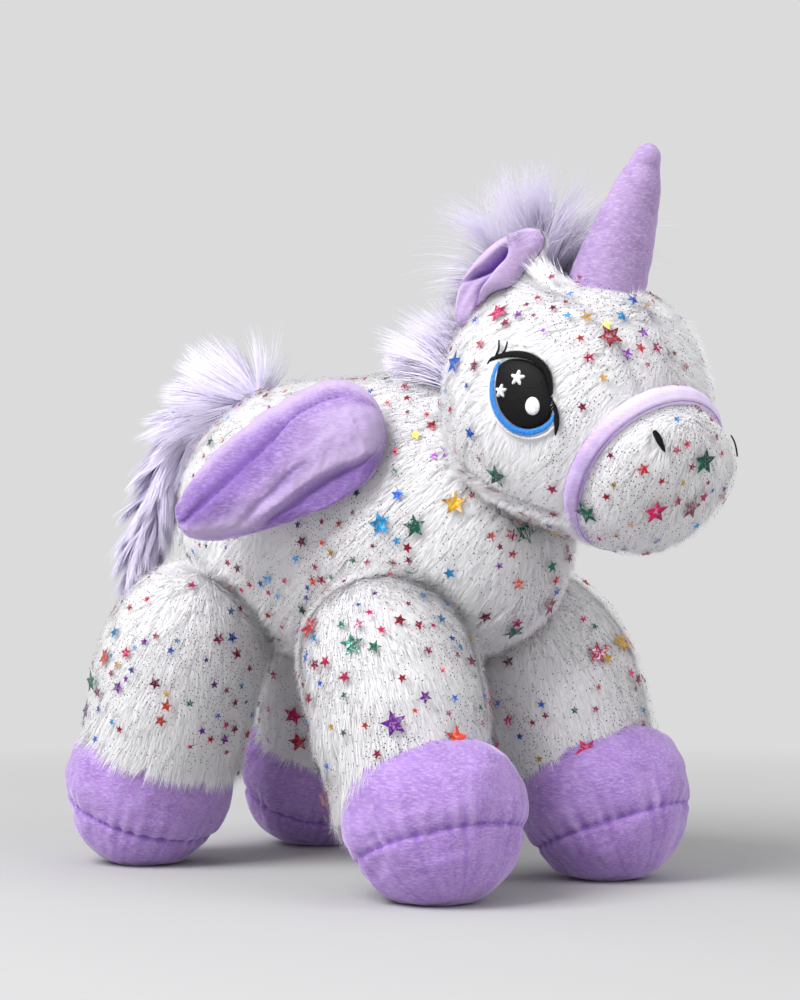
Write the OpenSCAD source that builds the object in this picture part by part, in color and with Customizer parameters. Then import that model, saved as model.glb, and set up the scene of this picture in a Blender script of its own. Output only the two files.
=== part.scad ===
// Standing plush unicorn with wings, sewn from printed fur and short-pile velboa.
// Millimetres, +Z up, nose towards -Y, the toy's right side towards -X.
// The origin is on the floor, below the middle of the toy's outer box.

/* [Body] */
// Length of the torso from chest to rump
body_length = 220; // [208:2:232]
// Width of the torso at its widest
body_width = 114; // [106:2:120]
// Height of the torso at the shoulders
body_height = 132; // [126:2:138]
// Height of the torso's underside above the floor
belly_height = 97; // [93:1:101]

/* [Head] */
// Length of the head from its back to the tip of the muzzle
head_length = 138; // [134:1:142]
// Width of the head at the cheeks
head_width = 108; // [102:1:114]
// Depth of the head from crown to jaw
head_depth = 109; // [104:1:114]
// How far the muzzle points below level
head_pitch = 34; // [30:1:38]
// Distance of the head's back in front of the middle of the torso
head_back_reach = 75; // [71:1:79]
// Height of the head's back above the floor
head_back_height = 246; // [242:1:250]
// Width of the noseband
noseband_width = 10; // [8:0.5:12]
// Height of an embroidered eye
eye_height = 36; // [32:0.5:40]
// Width of an embroidered eye
eye_width = 29; // [26:0.5:32]

/* [Horn] */
// Length of the horn above the forehead
horn_length = 62; // [56:1:68]
// Radius of the horn at its base
horn_radius = 16.5; // [15:0.5:18]
// Radius of the horn's rounded tip
horn_tip_radius = 6; // [5:0.5:7]
// Forward lean of the horn
horn_lean = 23; // [18:1:28]

/* [Ears] */
// How far an ear stands out from its seam
ear_rise = 26; // [22:1:28]
// Depth of an ear's cup
ear_cup = 6; // [5:0.5:7]

/* [Wings] */
// Length of a wing from its seam to its tip
wing_length = 98; // [90:2:106]
// Width of a wing across its three lobes
wing_width = 56; // [50:1:60]
// Thickness of a wing at its root
wing_thickness = 23; // [20:1:26]
// Angle between a resting wing and the flank
wing_spread = 24; // [20:1:30]
// How far a resting wing's tip points below level
wing_droop = 26; // [20:1:30]

/* [Mane and tail] */
// Half the width of the mane's pile
mane_spread = 20; // [16:1:24]
// Length of the mane's standing pile
mane_pile = 38; // [32:1:42]
// Radius of the tail at its fullest
tail_radius = 16; // [14:1:18]
// Drop of the tail from its root to its tip
tail_drop = 108; // [98:2:116]

/* [Legs] */
// Distance between the middles of the front and hind soles
stance_length = 192; // [184:2:200]
// Distance between the middles of the left and right soles
stance_width = 112; // [108:1:118]
// Radius of a leg at its middle
leg_radius = 37; // [34:0.5:38.5]
// Length of a leg from the seam of its hoof to its rounded top
leg_length = 110; // [106:1:114]
// Radius of a hoof at its seam
hoof_radius = 40; // [38:0.5:42]
// Length of a hoof from its seam up to the edge of the fur
hoof_cuff = 22; // [19:1:25]
// Lean of a front leg, with its hoof forwards
front_leg_lean = 28; // [25:1:30]
// Lean of a hind leg, with its hoof backwards
hind_leg_lean = 20; // [17:1:23]
// Tilt of a hoof, with its toe up
hoof_tilt = 20; // [17:1:23]
// Lean of a leg to its own side
leg_splay = 4; // [2:1:6]
// How far a stuffed sole flattens on the floor
sole_press = 3; // [2:0.5:4]

/* [Fabric] */
// Thickness of the fur fabric with its underfur
fur_thickness = 3; // [2:0.25:4]
// Thickness of the short-pile velboa
velboa_thickness = 1.6; // [1.2:0.1:2]
// Thickness of an embroidered patch
embroidery_thickness = 1.2; // [1:0.1:1.6]
// Gap that a piece needs beside a piece that moves
moving_gap = 0.5; // [0.4:0.05:0.8]

/* [Hidden] */

fur_white = [0.96, 0.95, 0.97];
lavender = [0.72, 0.60, 0.87];
pale_lavender = [0.82, 0.78, 0.94];
fill_white = [0.93, 0.93, 0.90];
thread_black = [0.06, 0.06, 0.07];
thread_blue = [0.05, 0.48, 0.84];
thread_white = [0.95, 0.95, 0.95];

// ---- Smooth curves ----

// Slope of column c at station i of a list of stations [place, value, ...]
function station_slope(s, c, i) =
    let (a = max(i - 1, 0), b = min(i + 1, len(s) - 1))
    (s[b][c] - s[a][c]) / (s[b][0] - s[a][0]);
function hermite(a, b, slope_a, slope_b, h, t) =
    a * (2 * t * t * t - 3 * t * t + 1) + b * (3 * t * t - 2 * t * t * t)
    + h * (slope_a * (t * t * t - 2 * t * t + t) + slope_b * (t * t * t - t * t));
// Smooth value of column c at a place on a list of stations
function along(s, c, place, i = 0) =
    (i >= len(s) - 2 || place <= s[i + 1][0])
    ? let (h = s[i + 1][0] - s[i][0])
      hermite(s[i][c], s[i + 1][c], station_slope(s, c, i), station_slope(s, c, i + 1), h,
          (place - s[i][0]) / h)
    : along(s, c, place, i + 1);
// Rounding of a stuffed form towards its ends at 0 and 1, with its own bluntness at each
function closing(t, blunt_0, blunt_1) =
    let (n = t < 0.5 ? blunt_0 : blunt_1)
    pow(max(0, 1 - pow(abs(2 * t - 1), n)), 1 / n);
// Share of the length at step u, with the rings closer together towards both ends
function eased(u) = (1 - cos(180 * u)) / 2;
function unit(a) = a / norm(a);

// ---- Torso and head surfaces ----
// u runs from the chest to the rump, or from the back of the head to the muzzle.
// v turns from the left side (0) over the top (90) to the right side (180).

// Share of length, then height of the middle, half height and half width as shares
torso_stations = [
    [0.00, 0.40, 0.96, 0.94],
    [0.25, 0.50, 1.06, 1.00],
    [0.50, 0.50, 0.99, 0.98],
    [0.75, 0.52, 1.02, 1.02],
    [1.00, 0.54, 1.00, 1.00]];
function torso_point(u, v, inset = 0) =
    let (t = eased(u),
         e = closing(t, 2.3, 2.5),
         half_width = (body_width / 2 - inset) * along(torso_stations, 3, t),
         half_height = (body_height / 2 - inset) * along(torso_stations, 2, t),
         middle = belly_height + body_height * along(torso_stations, 1, t))
    [half_width * e * cos(v), (2 * t - 1) * (body_length / 2 - inset), middle + half_height * e * sin(v)];

// Share of length, then half width, rise above the axis and drop below it as shares
head_stations = [
    [0.00, 0.98, 1.00, 1.00],
    [0.30, 1.00, 1.00, 1.00],
    [0.52, 0.98, 1.03, 0.94],
    [0.70, 0.88, 0.84, 0.82],
    [0.81, 0.78, 0.64, 0.76],
    [0.90, 0.80, 0.68, 0.76],
    [1.00, 0.80, 0.68, 0.76]];
head_axis = [0, -cos(head_pitch), -sin(head_pitch)];
head_up = [0, -sin(head_pitch), cos(head_pitch)];
head_back = [0, -head_back_reach, head_back_height];
function head_point(u, v, inset = 0) =
    let (t = eased(u),
         e = closing(t, 2, 3),
         half_width = (head_width / 2 - inset) * along(head_stations, 1, t),
         reach = (head_depth / 2 - inset) * along(head_stations, sin(v) > 0 ? 2 : 3, t))
    head_back + head_axis * (inset + (head_length - 2 * inset) * t)
    + [half_width * e * cos(v), 0, 0] + head_up * (reach * e * sin(v));

// Outward normals, from the surface's own slopes
tiny = 0.002;
function torso_normal(u, v) =
    unit(cross(torso_point(u + tiny, v) - torso_point(u - tiny, v),
        torso_point(u, v + 1) - torso_point(u, v - 1)));
function head_normal(u, v) =
    unit(cross(head_point(u, v + 1) - head_point(u, v - 1),
        head_point(u + tiny, v) - head_point(u - tiny, v)));

// ---- Solids from rows of points ----

// Triangles of the quads between rows of m points, where row i starts at point first + i * m
function quads(rows, m, first, closed, flip) =
    [for (i = [0:rows - 2]) for (j = [0:closed ? m - 1 : m - 2])
        each let (a = first + i * m + j, b = first + i * m + (j + 1) % m, c = b + m, d = a + m)
        flip ? [[a, c, b], [a, d, c]] : [[a, b, c], [a, c, d]]];
// Closed solid of full rings whose first and last ones have shrunk to a point
module ring_solid(rows, flip = false) {
    n = len(rows) - 1;
    m = len(rows[0]);
    points = [rows[0][0], for (i = [1:n - 1]) each rows[i], rows[n][0]];
    end = len(points) - 1;
    tail_ring = end - m;
    start_fan = [for (j = [0:m - 1]) flip ? [0, 1 + j, 1 + (j + 1) % m] : [0, 1 + (j + 1) % m, 1 + j]];
    end_fan = [for (j = [0:m - 1]) flip ? [end, tail_ring + (j + 1) % m, tail_ring + j]
                                        : [end, tail_ring + j, tail_ring + (j + 1) % m]];
    polyhedron(points, concat(start_fan, quads(n - 1, m, 1, true, flip), end_fan));
}
// Is this triangle of points more than a line?
function has_area(p, f) = norm(cross(p[f[1]] - p[f[0]], p[f[2]] - p[f[0]])) > 1e-6;
// Sheet with a thickness, between matching rows of outer and inner points
module sheet_solid(outer, inner, flip = false) {
    n = len(outer);
    m = len(outer[0]);
    size = n * m;
    points = [for (r = outer) each r, for (r = inner) each r];
    edge = concat(
        [for (j = [0:m - 2]) [j, j + 1]],
        [for (i = [0:n - 2]) [i * m + m - 1, (i + 1) * m + m - 1]],
        [for (j = [m - 1:-1:1]) [(n - 1) * m + j, (n - 1) * m + j - 1]],
        [for (i = [n - 1:-1:1]) [i * m, (i - 1) * m]]);
    // Each wall is split the same way round as its neighbour's, from outer corner to inner corner
    walls = [for (e = edge) each let (a = e[0], b = e[1], c = b + size, d = a + size)
        a < b == flip ? (flip ? [[a, b, c], [a, c, d]] : [[a, d, b], [b, d, c]])
                      : (flip ? [[a, b, d], [b, c, d]] : [[a, c, b], [a, d, c]])];
    faces = concat(quads(n, m, 0, false, flip), quads(n, m, size, false, !flip), walls);
    polyhedron(points, [for (f = faces) if (has_area(points, f)) f]);
}

// Closed band or cap with a thickness, between matching full rings of outer and inner points
module band_solid(outer, inner, flip = false) {
    n = len(outer);
    m = len(outer[0]);
    size = n * m;
    points = [for (r = outer) each r, for (r = inner) each r];
    walls = [for (row = [0, n - 1]) for (j = [0:m - 1])
        each let (a = row * m + j, b = row * m + (j + 1) % m, turn = (row == 0) == flip)
        turn ? [[a, b, b + size], [a, b + size, a + size]] : [[a, b + size, b], [a, a + size, b + size]]];
    faces = concat(quads(n, m, 0, true, flip), quads(n, m, size, true, !flip), walls);
    polyhedron(points, [for (f = faces) if (has_area(points, f)) f]);
}

// ---- Torso ----

torso_rings = 14;
round_step = 15;
full_round = 360 - round_step;
belly_edge = 60;
function torso_rows(v0, v1, inset) =
    [for (i = [0:torso_rings]) [for (v = [v0:round_step:v1]) torso_point(i / torso_rings, v, inset)]];
module torso_solid(inset = 0) ring_solid(torso_rows(0, full_round, inset));
module torso_panel(v0, v1) color(fur_white) difference() {
    sheet_solid(torso_rows(v0, v1, 0), torso_rows(v0, v1, fur_thickness));
    head_solid();
}
module body_left_panel() torso_panel(-belly_edge, 90);
module body_right_panel() torso_panel(90, 180 + belly_edge);
module belly_gusset() torso_panel(180 + belly_edge, 360 - belly_edge);
module body_stuffing() color(fill_white) difference() {
    torso_solid(fur_thickness);
    head_solid();
}

// ---- Head ----

noseband_u = 0.70;
gusset_edge = 30;
jaw_edge = 45;
function steps(from, to, n) = [for (i = [0:n]) from + (to - from) * i / n];
function rest(list) = [for (i = [1:len(list) - 1]) list[i]];
behind_band = steps(0, noseband_u, 11);
before_band = steps(noseband_u, 1, 5);
function head_rows(us, v0, v1, inset) =
    [for (u = us) [for (v = [v0:round_step:v1]) head_point(u, v, inset)]];
module head_solid(inset = 0)
    ring_solid(head_rows(concat(behind_band, rest(before_band)), 0, full_round, inset), flip = true);
module head_sheet(v0, v1) color(fur_white)
    sheet_solid(head_rows(behind_band, v0, v1, 0), head_rows(behind_band, v0, v1, fur_thickness),
        flip = true);
module head_left_panel() head_sheet(-jaw_edge, 90 - gusset_edge);
module forehead_gusset() head_sheet(90 - gusset_edge, 90 + gusset_edge);
module head_right_panel() head_sheet(90 + gusset_edge, 180 + jaw_edge);
module jaw_gusset() head_sheet(180 + jaw_edge, 360 - jaw_edge);
module muzzle_panel() color(fur_white)
    band_solid(head_rows(before_band, 0, full_round, 0),
        head_rows(before_band, 0, full_round, fur_thickness), flip = true);
module head_stuffing() color(fill_white) head_solid(fur_thickness);

// ---- Face ----

// Patches are made this much deeper, then cut back to the head's surface
patch_depth = 1.5;

// A point a forward and b upward of place (u, v) on the right of the head, lifted off its surface
function on_head(u, v, a, b, lift) =
    let (along_u = norm(head_point(u + tiny, v) - head_point(u - tiny, v)) / (2 * tiny),
         around_v = norm(head_point(u, v + 1) - head_point(u, v - 1)) / 2)
    head_point(u + a / along_u, v - b / around_v, -lift);

noseband_half_u = noseband_width / 2 / (head_length * 90 * sin(180 * noseband_u) / 57.3);
noseband_us = steps(noseband_u - noseband_half_u, noseband_u + noseband_half_u, 3);
module noseband() color(lavender) difference() {
    band_solid(head_rows(noseband_us, 0, full_round, -velboa_thickness),
        head_rows(noseband_us, 0, full_round, patch_depth), flip = true);
    head_solid();
}

eye_u = 0.515;
eye_v = 172;
eye_turn = -28;
// A point at angle q on the eye, at a share of the black field's size
function eye_point(share, q, lift) =
    let (a = share * eye_width / 2 * cos(q), b = share * eye_height / 2 * sin(q))
    on_head(eye_u, eye_v, a * cos(eye_turn) + b * sin(eye_turn), b * cos(eye_turn) - a * sin(eye_turn),
        lift);
function eye_rows(shares, q0, q1, q_step, lift) =
    [for (s = shares) [for (q = [q0:q_step:q1]) eye_point(s, q, lift)]];
// What is left of a right-hand patch, or of its mirror image, outside the head
module on_right() difference() {
    children();
    head_solid();
}
module on_left() difference() {
    mirror([1, 0, 0]) children();
    head_solid();
}
module eye_patch()
    band_solid(eye_rows([0, 0.5, 1], 0, 345, 15, embroidery_thickness),
        eye_rows([0, 0.5, 1], 0, 345, 15, -patch_depth));
module eye_rim()
    sheet_solid(eye_rows([1.02, 1.13], 135, 345, 10, embroidery_thickness * 1.3),
        eye_rows([1.02, 1.13], 135, 345, 10, -patch_depth));

// A small raised spot on the eye: its middle, then a list of radii around it
module eye_spot(a, b, radii, low, high) {
    n = len(radii);
    function spot(share, lift) = [for (i = [0:n - 1])
        on_head(eye_u, eye_v, a + share * radii[i] * cos(90 + i * 360 / n),
            b + share * radii[i] * sin(90 + i * 360 / n), lift)];
    band_solid([spot(0, high), spot(1, high)], [spot(0, low), spot(1, low)]);
}
star_radii = [for (i = [0:9]) i % 2 == 0 ? 1 : 0.45];
glint_radii = [for (i = [0:15]) let (q = 90 + i * 22.5) 1 / norm([cos(q) / 0.85, sin(q)])];
module eye_highlights() {
    low = embroidery_thickness + 0.1;
    high = low + embroidery_thickness / 2;
    eye_spot(eye_width * 0.20, -eye_height * 0.22, glint_radii * eye_width * 0.16, low, high);
    eye_spot(-eye_width * 0.10, eye_height * 0.18, star_radii * eye_width * 0.13, low, high);
    eye_spot(-eye_width * 0.26, -eye_height * 0.02, star_radii * eye_width * 0.11, low, high);
}
// The upper lid and its two lashes, as strips around the eye and away from it
function lash(q, lift) = [for (share = [1.10, 1.42]) [for (d = [3, -3])
    eye_point(share, q + (share - 1.10) * 20 + d * (1.6 - share) * 2, lift)]];
module eye_lashes() {
    lift = embroidery_thickness * 1.3;
    sheet_solid(eye_rows([1.02, 1.15], 15, 134, 10, lift),
        eye_rows([1.02, 1.15], 15, 134, 10, -patch_depth));
    for (q = [112, 128]) sheet_solid(lash(q, lift), lash(q, -patch_depth), flip = true);
}
module right_eye_patch() color(thread_black) on_right() eye_patch();
module right_eye_rim() color(thread_blue) on_right() eye_rim();
module right_eye_highlights() color(thread_white) eye_highlights();
module right_eye_lashes() color(thread_black) on_right() eye_lashes();
module left_eye_patch() color(thread_black) on_left() eye_patch();
module left_eye_rim() color(thread_blue) on_left() eye_rim();
module left_eye_highlights() color(thread_white) mirror([1, 0, 0]) eye_highlights();
module left_eye_lashes() color(thread_black) on_left() eye_lashes();

nostril_u = 0.82;
nostril_v = 134;
nostril_width = 5;
nostril_height = 8;
function nostril_rows(lift) = [for (s = [0, 1]) [for (q = [0:30:330])
    on_head(nostril_u, nostril_v, s * nostril_width / 2 * cos(q), s * nostril_height / 2 * sin(q), lift)]];
module nostril() band_solid(nostril_rows(embroidery_thickness), nostril_rows(-patch_depth));
module right_nostril() color(thread_black) on_right() nostril();
module left_nostril() color(thread_black) on_left() nostril();

// ---- Horn ----

horn_u = 0.405;
horn_foot = 12;
module at_horn() translate(head_point(horn_u, 90)) rotate([horn_lean, 0, 0]) children();
// Radius of the horn at a share of its length, with a slight pinch before the rounded tip
function horn_profile(inset) =
    let (top = horn_length - inset, r = horn_radius - inset, e = horn_tip_radius - inset) [
    [0, -horn_foot], [r, -horn_foot], [r, 0], [r * 0.86 + e * 0.14, top * 0.25],
    [r * 0.60 + e * 0.40, top * 0.5],
    [r * 0.34 + e * 0.66, top * 0.72], [e * 1.12, top - 1.7 * e], [e * 1.04, top - e],
    [e * 0.80, top - 0.45 * e], [e * 0.42, top - 0.12 * e], [0, top]];
module horn_cover() color(lavender) difference() {
    at_horn() rotate_extrude($fn = 40) difference() {
        polygon(horn_profile(0));
        polygon(horn_profile(velboa_thickness));
    }
    head_solid();
}
module horn_stuffing() color(fill_white) difference() {
    at_horn() rotate_extrude($fn = 40) polygon(horn_profile(velboa_thickness));
    head_solid();
}

// ---- Ears ----

ear_back_place = [0.22, 161];
ear_front_place = [0.33, 122];
ear_seam = 0.9;
ear_a = head_point(ear_back_place[0], ear_back_place[1], -ear_seam);
ear_b = head_point(ear_front_place[0], ear_front_place[1], -ear_seam);
ear_along = unit(ear_b - ear_a);
ear_place = (ear_back_place + ear_front_place) / 2;
ear_out = unit(head_normal(ear_place[0], ear_place[1]));
ear_stations = [[0, 0.25], [0.2, 0.62], [0.45, 0.88], [0.7, 1.0], [0.88, 0.98], [1, 0.74]];
ear_lean = 37;
// The ear's rise leans inwards from the head's own normal, and its cup faces outwards and forwards
ear_side = unit(cross(ear_along, ear_out));
ear_rise_way = ear_out * cos(ear_lean) - ear_side * sin(ear_lean);
ear_face = cross(ear_along, ear_rise_way);
// p runs along the seam, q from the seam to the free edge
function ear_point(p, q, lift) =
    let (pp = p + 0.12 * q,
         sag = norm(ear_b - ear_a) * 0.08 * (1 - pow(2 * p - 1, 2)) * (1 - q),
         thick = min(1, 0.3 + q * 3))
    ear_a + (ear_b - ear_a) * pp
    + ear_out * sag
    + ear_rise_way * (q * ear_rise * along(ear_stations, 1, p))
    - ear_face * (ear_cup * sin(180 * pow(q, 1.7)) * along(ear_stations, 1, p))
    + ear_face * (lift * thick);
function ear_rows(lift) = [for (p = steps(0, 1, 8)) [for (q = steps(0, 1, 6)) ear_point(p, q, lift)]];
module right_ear_back() color(fur_white) sheet_solid(ear_rows(0), ear_rows(-fur_thickness));
module right_ear_lining() color(lavender) sheet_solid(ear_rows(velboa_thickness), ear_rows(0));
module left_ear_back() mirror([1, 0, 0]) right_ear_back();
module left_ear_lining() mirror([1, 0, 0]) right_ear_lining();

// ---- Pile bundles: mane and tail ----

// Rings around a curve of stations [share, x, y, z, half width, half height]
function bundle_middle(s, p) = [along(s, 1, p), along(s, 2, p), along(s, 3, p)];
function bundle_ring(s, p) =
    let (way = unit(bundle_middle(s, min(1, p + 0.01)) - bundle_middle(s, max(0, p - 0.01))),
         across = unit([1, 0, 0] - way * way[0]),
         up = cross(way, across))
    [for (q = [0:20:340]) bundle_middle(s, p) + across * (max(0, along(s, 4, p)) * cos(q))
        + up * (max(0, along(s, 5, p)) * sin(q))];
module bundle(s, ps) ring_solid([for (p = ps) bundle_ring(s, p)], flip = true);

mane_stations = [
    [0.00, 0, -119, 262, 0, 0],
    [0.12, 0, -114, 268, mane_spread * 0.62, mane_pile * 0.66],
    [0.30, 0, -102, 268, mane_spread * 0.82, mane_pile * 0.82],
    [0.50, 0, -86, 261, mane_spread, mane_pile * 0.78],
    [0.68, 0, -70, 248, mane_spread, mane_pile * 0.62],
    [0.84, 0, -48, 233, mane_spread * 0.75, mane_pile * 0.38],
    [1.00, 0, -18, 226, 0, 0]];
module mane() color(pale_lavender) difference() {
    bundle(mane_stations, [0, 0.03, 0.07, 0.12, 0.2, 0.3, 0.4, 0.5, 0.6, 0.7, 0.8, 0.88, 0.94, 0.98, 1]);
    head_solid();
    torso_solid();
}

tail_root_u = 0.75;
tail_root_radius = 6;
tail_root = torso_point(tail_root_u, 90)
    + torso_normal(tail_root_u, 90) * (tail_root_radius - 0.7 + moving_gap);
tail_fall = body_length / 2 - tail_root[1];
function fall(outward, x, share, wide, deep) = [x, tail_root[1] + tail_fall + tail_radius * outward,
    tail_root[2] - tail_drop * share, tail_radius * wide, tail_radius * deep];
tail_stations = [
    [0.00, 0, tail_root[1] - 6, tail_root[2], 0, 0],
    [0.02, 0, tail_root[1] - 4.5, tail_root[2], 4, 4],
    [0.05, 0, tail_root[1], tail_root[2], 6, 6],
    [0.20, -6, tail_root[1] + tail_fall * 0.70, tail_root[2] - 3, tail_radius * 0.72, tail_radius * 0.66],
    concat([0.40], fall(0.75, -14, 0.22, 0.95, 0.85)),
    concat([0.60], fall(1.10, -24, 0.48, 1.00, 0.85)),
    concat([0.80], fall(1.15, -33, 0.74, 0.85, 0.72)),
    concat([0.94], fall(1.05, -37, 0.93, 0.50, 0.42)),
    concat([1.00], fall(1.00, -38, 1.00, 0.00, 0.00))];
tail_steps = [0, 0.015, 0.03, 0.05, 0.1, 0.16, 0.23, 0.31, 0.4, 0.5, 0.6, 0.7, 0.8, 0.88, 0.94, 0.98, 1];
tail_reach = max([for (p = tail_steps) for (r = bundle_ring(tail_stations, p)) r[1]]);
module tail() color(pale_lavender) bundle(tail_stations, tail_steps);

// ---- Wings ----

wing_root_radius = wing_thickness / 2;
wing_u = 0.36;
wing_v = 147;
wing_root = torso_point(wing_u, wing_v)
    + torso_normal(wing_u, wing_v) * (wing_root_radius - 0.3 + moving_gap);
wing_way = [-sin(wing_spread) * cos(wing_droop), cos(wing_spread) * cos(wing_droop), -sin(wing_droop)];
wing_seam_way = [0, -0.64, -0.77];
wing_across = unit(wing_seam_way - wing_way * (wing_seam_way * wing_way));
wing_face = cross(wing_way, wing_across);
// Share of length, then half width as a share and thickness as a share
wing_stations = [
    [0.00, 0.46, 0.15], [0.03, 0.62, 0.62], [0.08, 0.79, 0.90], [0.15, 0.92, 1.00], [0.35, 1.00, 0.95],
    [0.60, 0.88, 0.80], [0.80, 0.72, 0.62], [0.93, 0.50, 0.40], [1.00, 0, 0]];
// Place across the wing, then the bulge of its upper side with the two creases between three lobes
wing_lobes = [
    [-1.00, 0], [-0.92, 0.42], [-0.78, 0.72], [-0.50, 0.96], [-0.20, 1.00], [0.08, 0.84], [0.26, 0.56],
    [0.36, 0.62], [0.46, 0.42], [0.60, 0.58], [0.80, 0.50], [0.92, 0.30], [1.00, 0]];
function wing_point(p, lobe, upper, inset) =
    let (w = wing_lobes[lobe][0],
         bulge = upper ? wing_lobes[lobe][1] : -0.9 * sqrt(1 - w * w),
         reach = -(wing_root_radius - inset) + p * (wing_length + wing_root_radius - 2 * inset),
         half = (wing_width / 2 - inset) * along(wing_stations, 1, p),
         height = (wing_root_radius - inset) * along(wing_stations, 2, p))
    wing_root + wing_way * reach + wing_across * (w * half) + wing_face * (bulge * height);
wing_steps = [0, 0.015, 0.04, 0.08, 0.14, 0.22, 0.32, 0.42, 0.52, 0.62, 0.72, 0.82, 0.9, 0.96, 1];
function wing_rows(upper, inset) =
    [for (p = wing_steps) [for (i = [0:len(wing_lobes) - 1]) wing_point(p, i, upper, inset)]];
module right_wing_top() color(lavender) sheet_solid(wing_rows(true, 0), wing_rows(true, velboa_thickness));
module right_wing_under() color(lavender)
    sheet_solid(wing_rows(false, 0), wing_rows(false, velboa_thickness), flip = true);
module right_wing_stuffing() color(fill_white)
    sheet_solid(wing_rows(true, velboa_thickness), wing_rows(false, velboa_thickness));
module left_wing_top() mirror([1, 0, 0]) right_wing_top();
module left_wing_under() mirror([1, 0, 0]) right_wing_under();
module left_wing_stuffing() mirror([1, 0, 0]) right_wing_stuffing();

// ---- Legs ----

sole_height = hoof_radius - sole_press;
// front is 1 in front and -1 behind; side is 1 on the left and -1 on the right
module leaning(front, side, lean)
    translate([side * stance_width / 2, -front * stance_length / 2, sole_height])
    rotate([-front * lean, side * -leg_splay, 0]) children();
module at_hoof(front, side) leaning(front, side, hoof_tilt) children();
module at_leg(front, side) leaning(front, side, front > 0 ? front_leg_lean : hind_leg_lean) children();
module above_floor(height) translate([-300, -300, height]) cube([600, 600, 400]);

seam_angle = 20;
seam_drop = hoof_radius * sin(seam_angle);
function sole_arc(inset) = let (r = hoof_radius - inset)
    [for (q = [-90:10:-30]) [r * cos(q), r * sin(q)]];
function sole_edge(inset) = [sqrt(pow(hoof_radius - inset, 2) - pow(seam_drop, 2)), -seam_drop];
function upper_side(inset) = [
    sole_edge(inset), [hoof_radius * 1.01 - inset, -4], [hoof_radius * 1.03 - inset, 8],
    [hoof_radius * 1.02 - inset, 20], [hoof_radius * 0.98 - inset, hoof_cuff]];
// Radius of a leg from inside its hoof to its rounded top
function leg_side(inset) = let (r = leg_radius - inset, top = leg_length - inset) [
    [r * 1.04, 0], [r * 1.05, 30], [r * 1.06, 45], [r * 1.03, 58], [r, 72], [r * 0.92, 85],
    [r * 0.76, 97], [r * 0.50, 105.5 - inset], [r * 0.25, top - 1.2], [0, top]];
function backwards(list) = [for (i = [len(list) - 1:-1:0]) list[i]];
module revolved(points) rotate_extrude($fn = 48) polygon(points);
module hoof_form(front, side, inset) at_hoof(front, side)
    revolved(concat(sole_arc(inset), upper_side(inset), [[0, hoof_cuff]]));
module leg_form(front, side, inset) at_leg(front, side) revolved(concat([[0, 0]], leg_side(inset)));

module leg_skin(front, side) color(fur_white) difference() {
    leg_form(front, side, 0);
    leg_form(front, side, fur_thickness);
    hoof_form(front, side, 0);
    torso_solid();
}
module leg_stuffing(front, side) color(fill_white) difference() {
    union() {
        intersection() {
            hoof_form(front, side, velboa_thickness);
            above_floor(velboa_thickness);
        }
        difference() {
            leg_form(front, side, fur_thickness);
            hoof_form(front, side, 0);
        }
    }
    torso_solid();
}
module hoof_upper(front, side) color(lavender) at_hoof(front, side)
    revolved(concat(upper_side(0), backwards(upper_side(velboa_thickness))));
module hoof_sole(front, side) color(lavender) difference() {
    intersection() {
        at_hoof(front, side) revolved(concat(sole_arc(0), [sole_edge(0), [0, -seam_drop]]));
        above_floor(0);
    }
    intersection() {
        at_hoof(front, side) revolved(concat(sole_arc(velboa_thickness),
            [sole_edge(velboa_thickness), [sole_edge(velboa_thickness)[0], 0], [0, 0]]));
        above_floor(velboa_thickness);
    }
}
module front_left_leg_skin() leg_skin(1, 1);
module front_left_leg_stuffing() leg_stuffing(1, 1);
module front_left_hoof_upper() hoof_upper(1, 1);
module front_left_hoof_sole() hoof_sole(1, 1);
module front_right_leg_skin() leg_skin(1, -1);
module front_right_leg_stuffing() leg_stuffing(1, -1);
module front_right_hoof_upper() hoof_upper(1, -1);
module front_right_hoof_sole() hoof_sole(1, -1);
module hind_left_leg_skin() leg_skin(-1, 1);
module hind_left_leg_stuffing() leg_stuffing(-1, 1);
module hind_left_hoof_upper() hoof_upper(-1, 1);
module hind_left_hoof_sole() hoof_sole(-1, 1);
module hind_right_leg_skin() leg_skin(-1, -1);
module hind_right_leg_stuffing() leg_stuffing(-1, -1);
module hind_right_hoof_upper() hoof_upper(-1, -1);
module hind_right_hoof_sole() hoof_sole(-1, -1);

// ---- Placing ----

// The origin goes below the middle of the outer box: halfway between the muzzle and the tail
front_reach = -min([for (row = head_rows(steps(noseband_u, 1, 10), 0, full_round, 0)) for (p = row) p[1]]);
function place() = [0, (front_reach - tail_reach) / 2, 0];

// ---- Output: one sub-part, or all of them, with the origin below the middle of the box ----
translate(place()) body_left_panel();
translate(place()) body_right_panel();
translate(place()) belly_gusset();
translate(place()) body_stuffing();
translate(place()) head_left_panel();
translate(place()) head_right_panel();
translate(place()) forehead_gusset();
translate(place()) jaw_gusset();
translate(place()) muzzle_panel();
translate(place()) head_stuffing();
translate(place()) noseband();
translate(place()) left_eye_patch();
translate(place()) left_eye_rim();
translate(place()) left_eye_highlights();
translate(place()) left_eye_lashes();
translate(place()) right_eye_patch();
translate(place()) right_eye_rim();
translate(place()) right_eye_highlights();
translate(place()) right_eye_lashes();
translate(place()) left_nostril();
translate(place()) right_nostril();
translate(place()) horn_cover();
translate(place()) horn_stuffing();
translate(place()) left_ear_back();
translate(place()) left_ear_lining();
translate(place()) right_ear_back();
translate(place()) right_ear_lining();
translate(place()) mane();
translate(place()) tail();
translate(place()) left_wing_top();
translate(place()) left_wing_under();
translate(place()) left_wing_stuffing();
translate(place()) right_wing_top();
translate(place()) right_wing_under();
translate(place()) right_wing_stuffing();
translate(place()) front_left_leg_skin();
translate(place()) front_left_leg_stuffing();
translate(place()) front_left_hoof_upper();
translate(place()) front_left_hoof_sole();
translate(place()) front_right_leg_skin();
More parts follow.
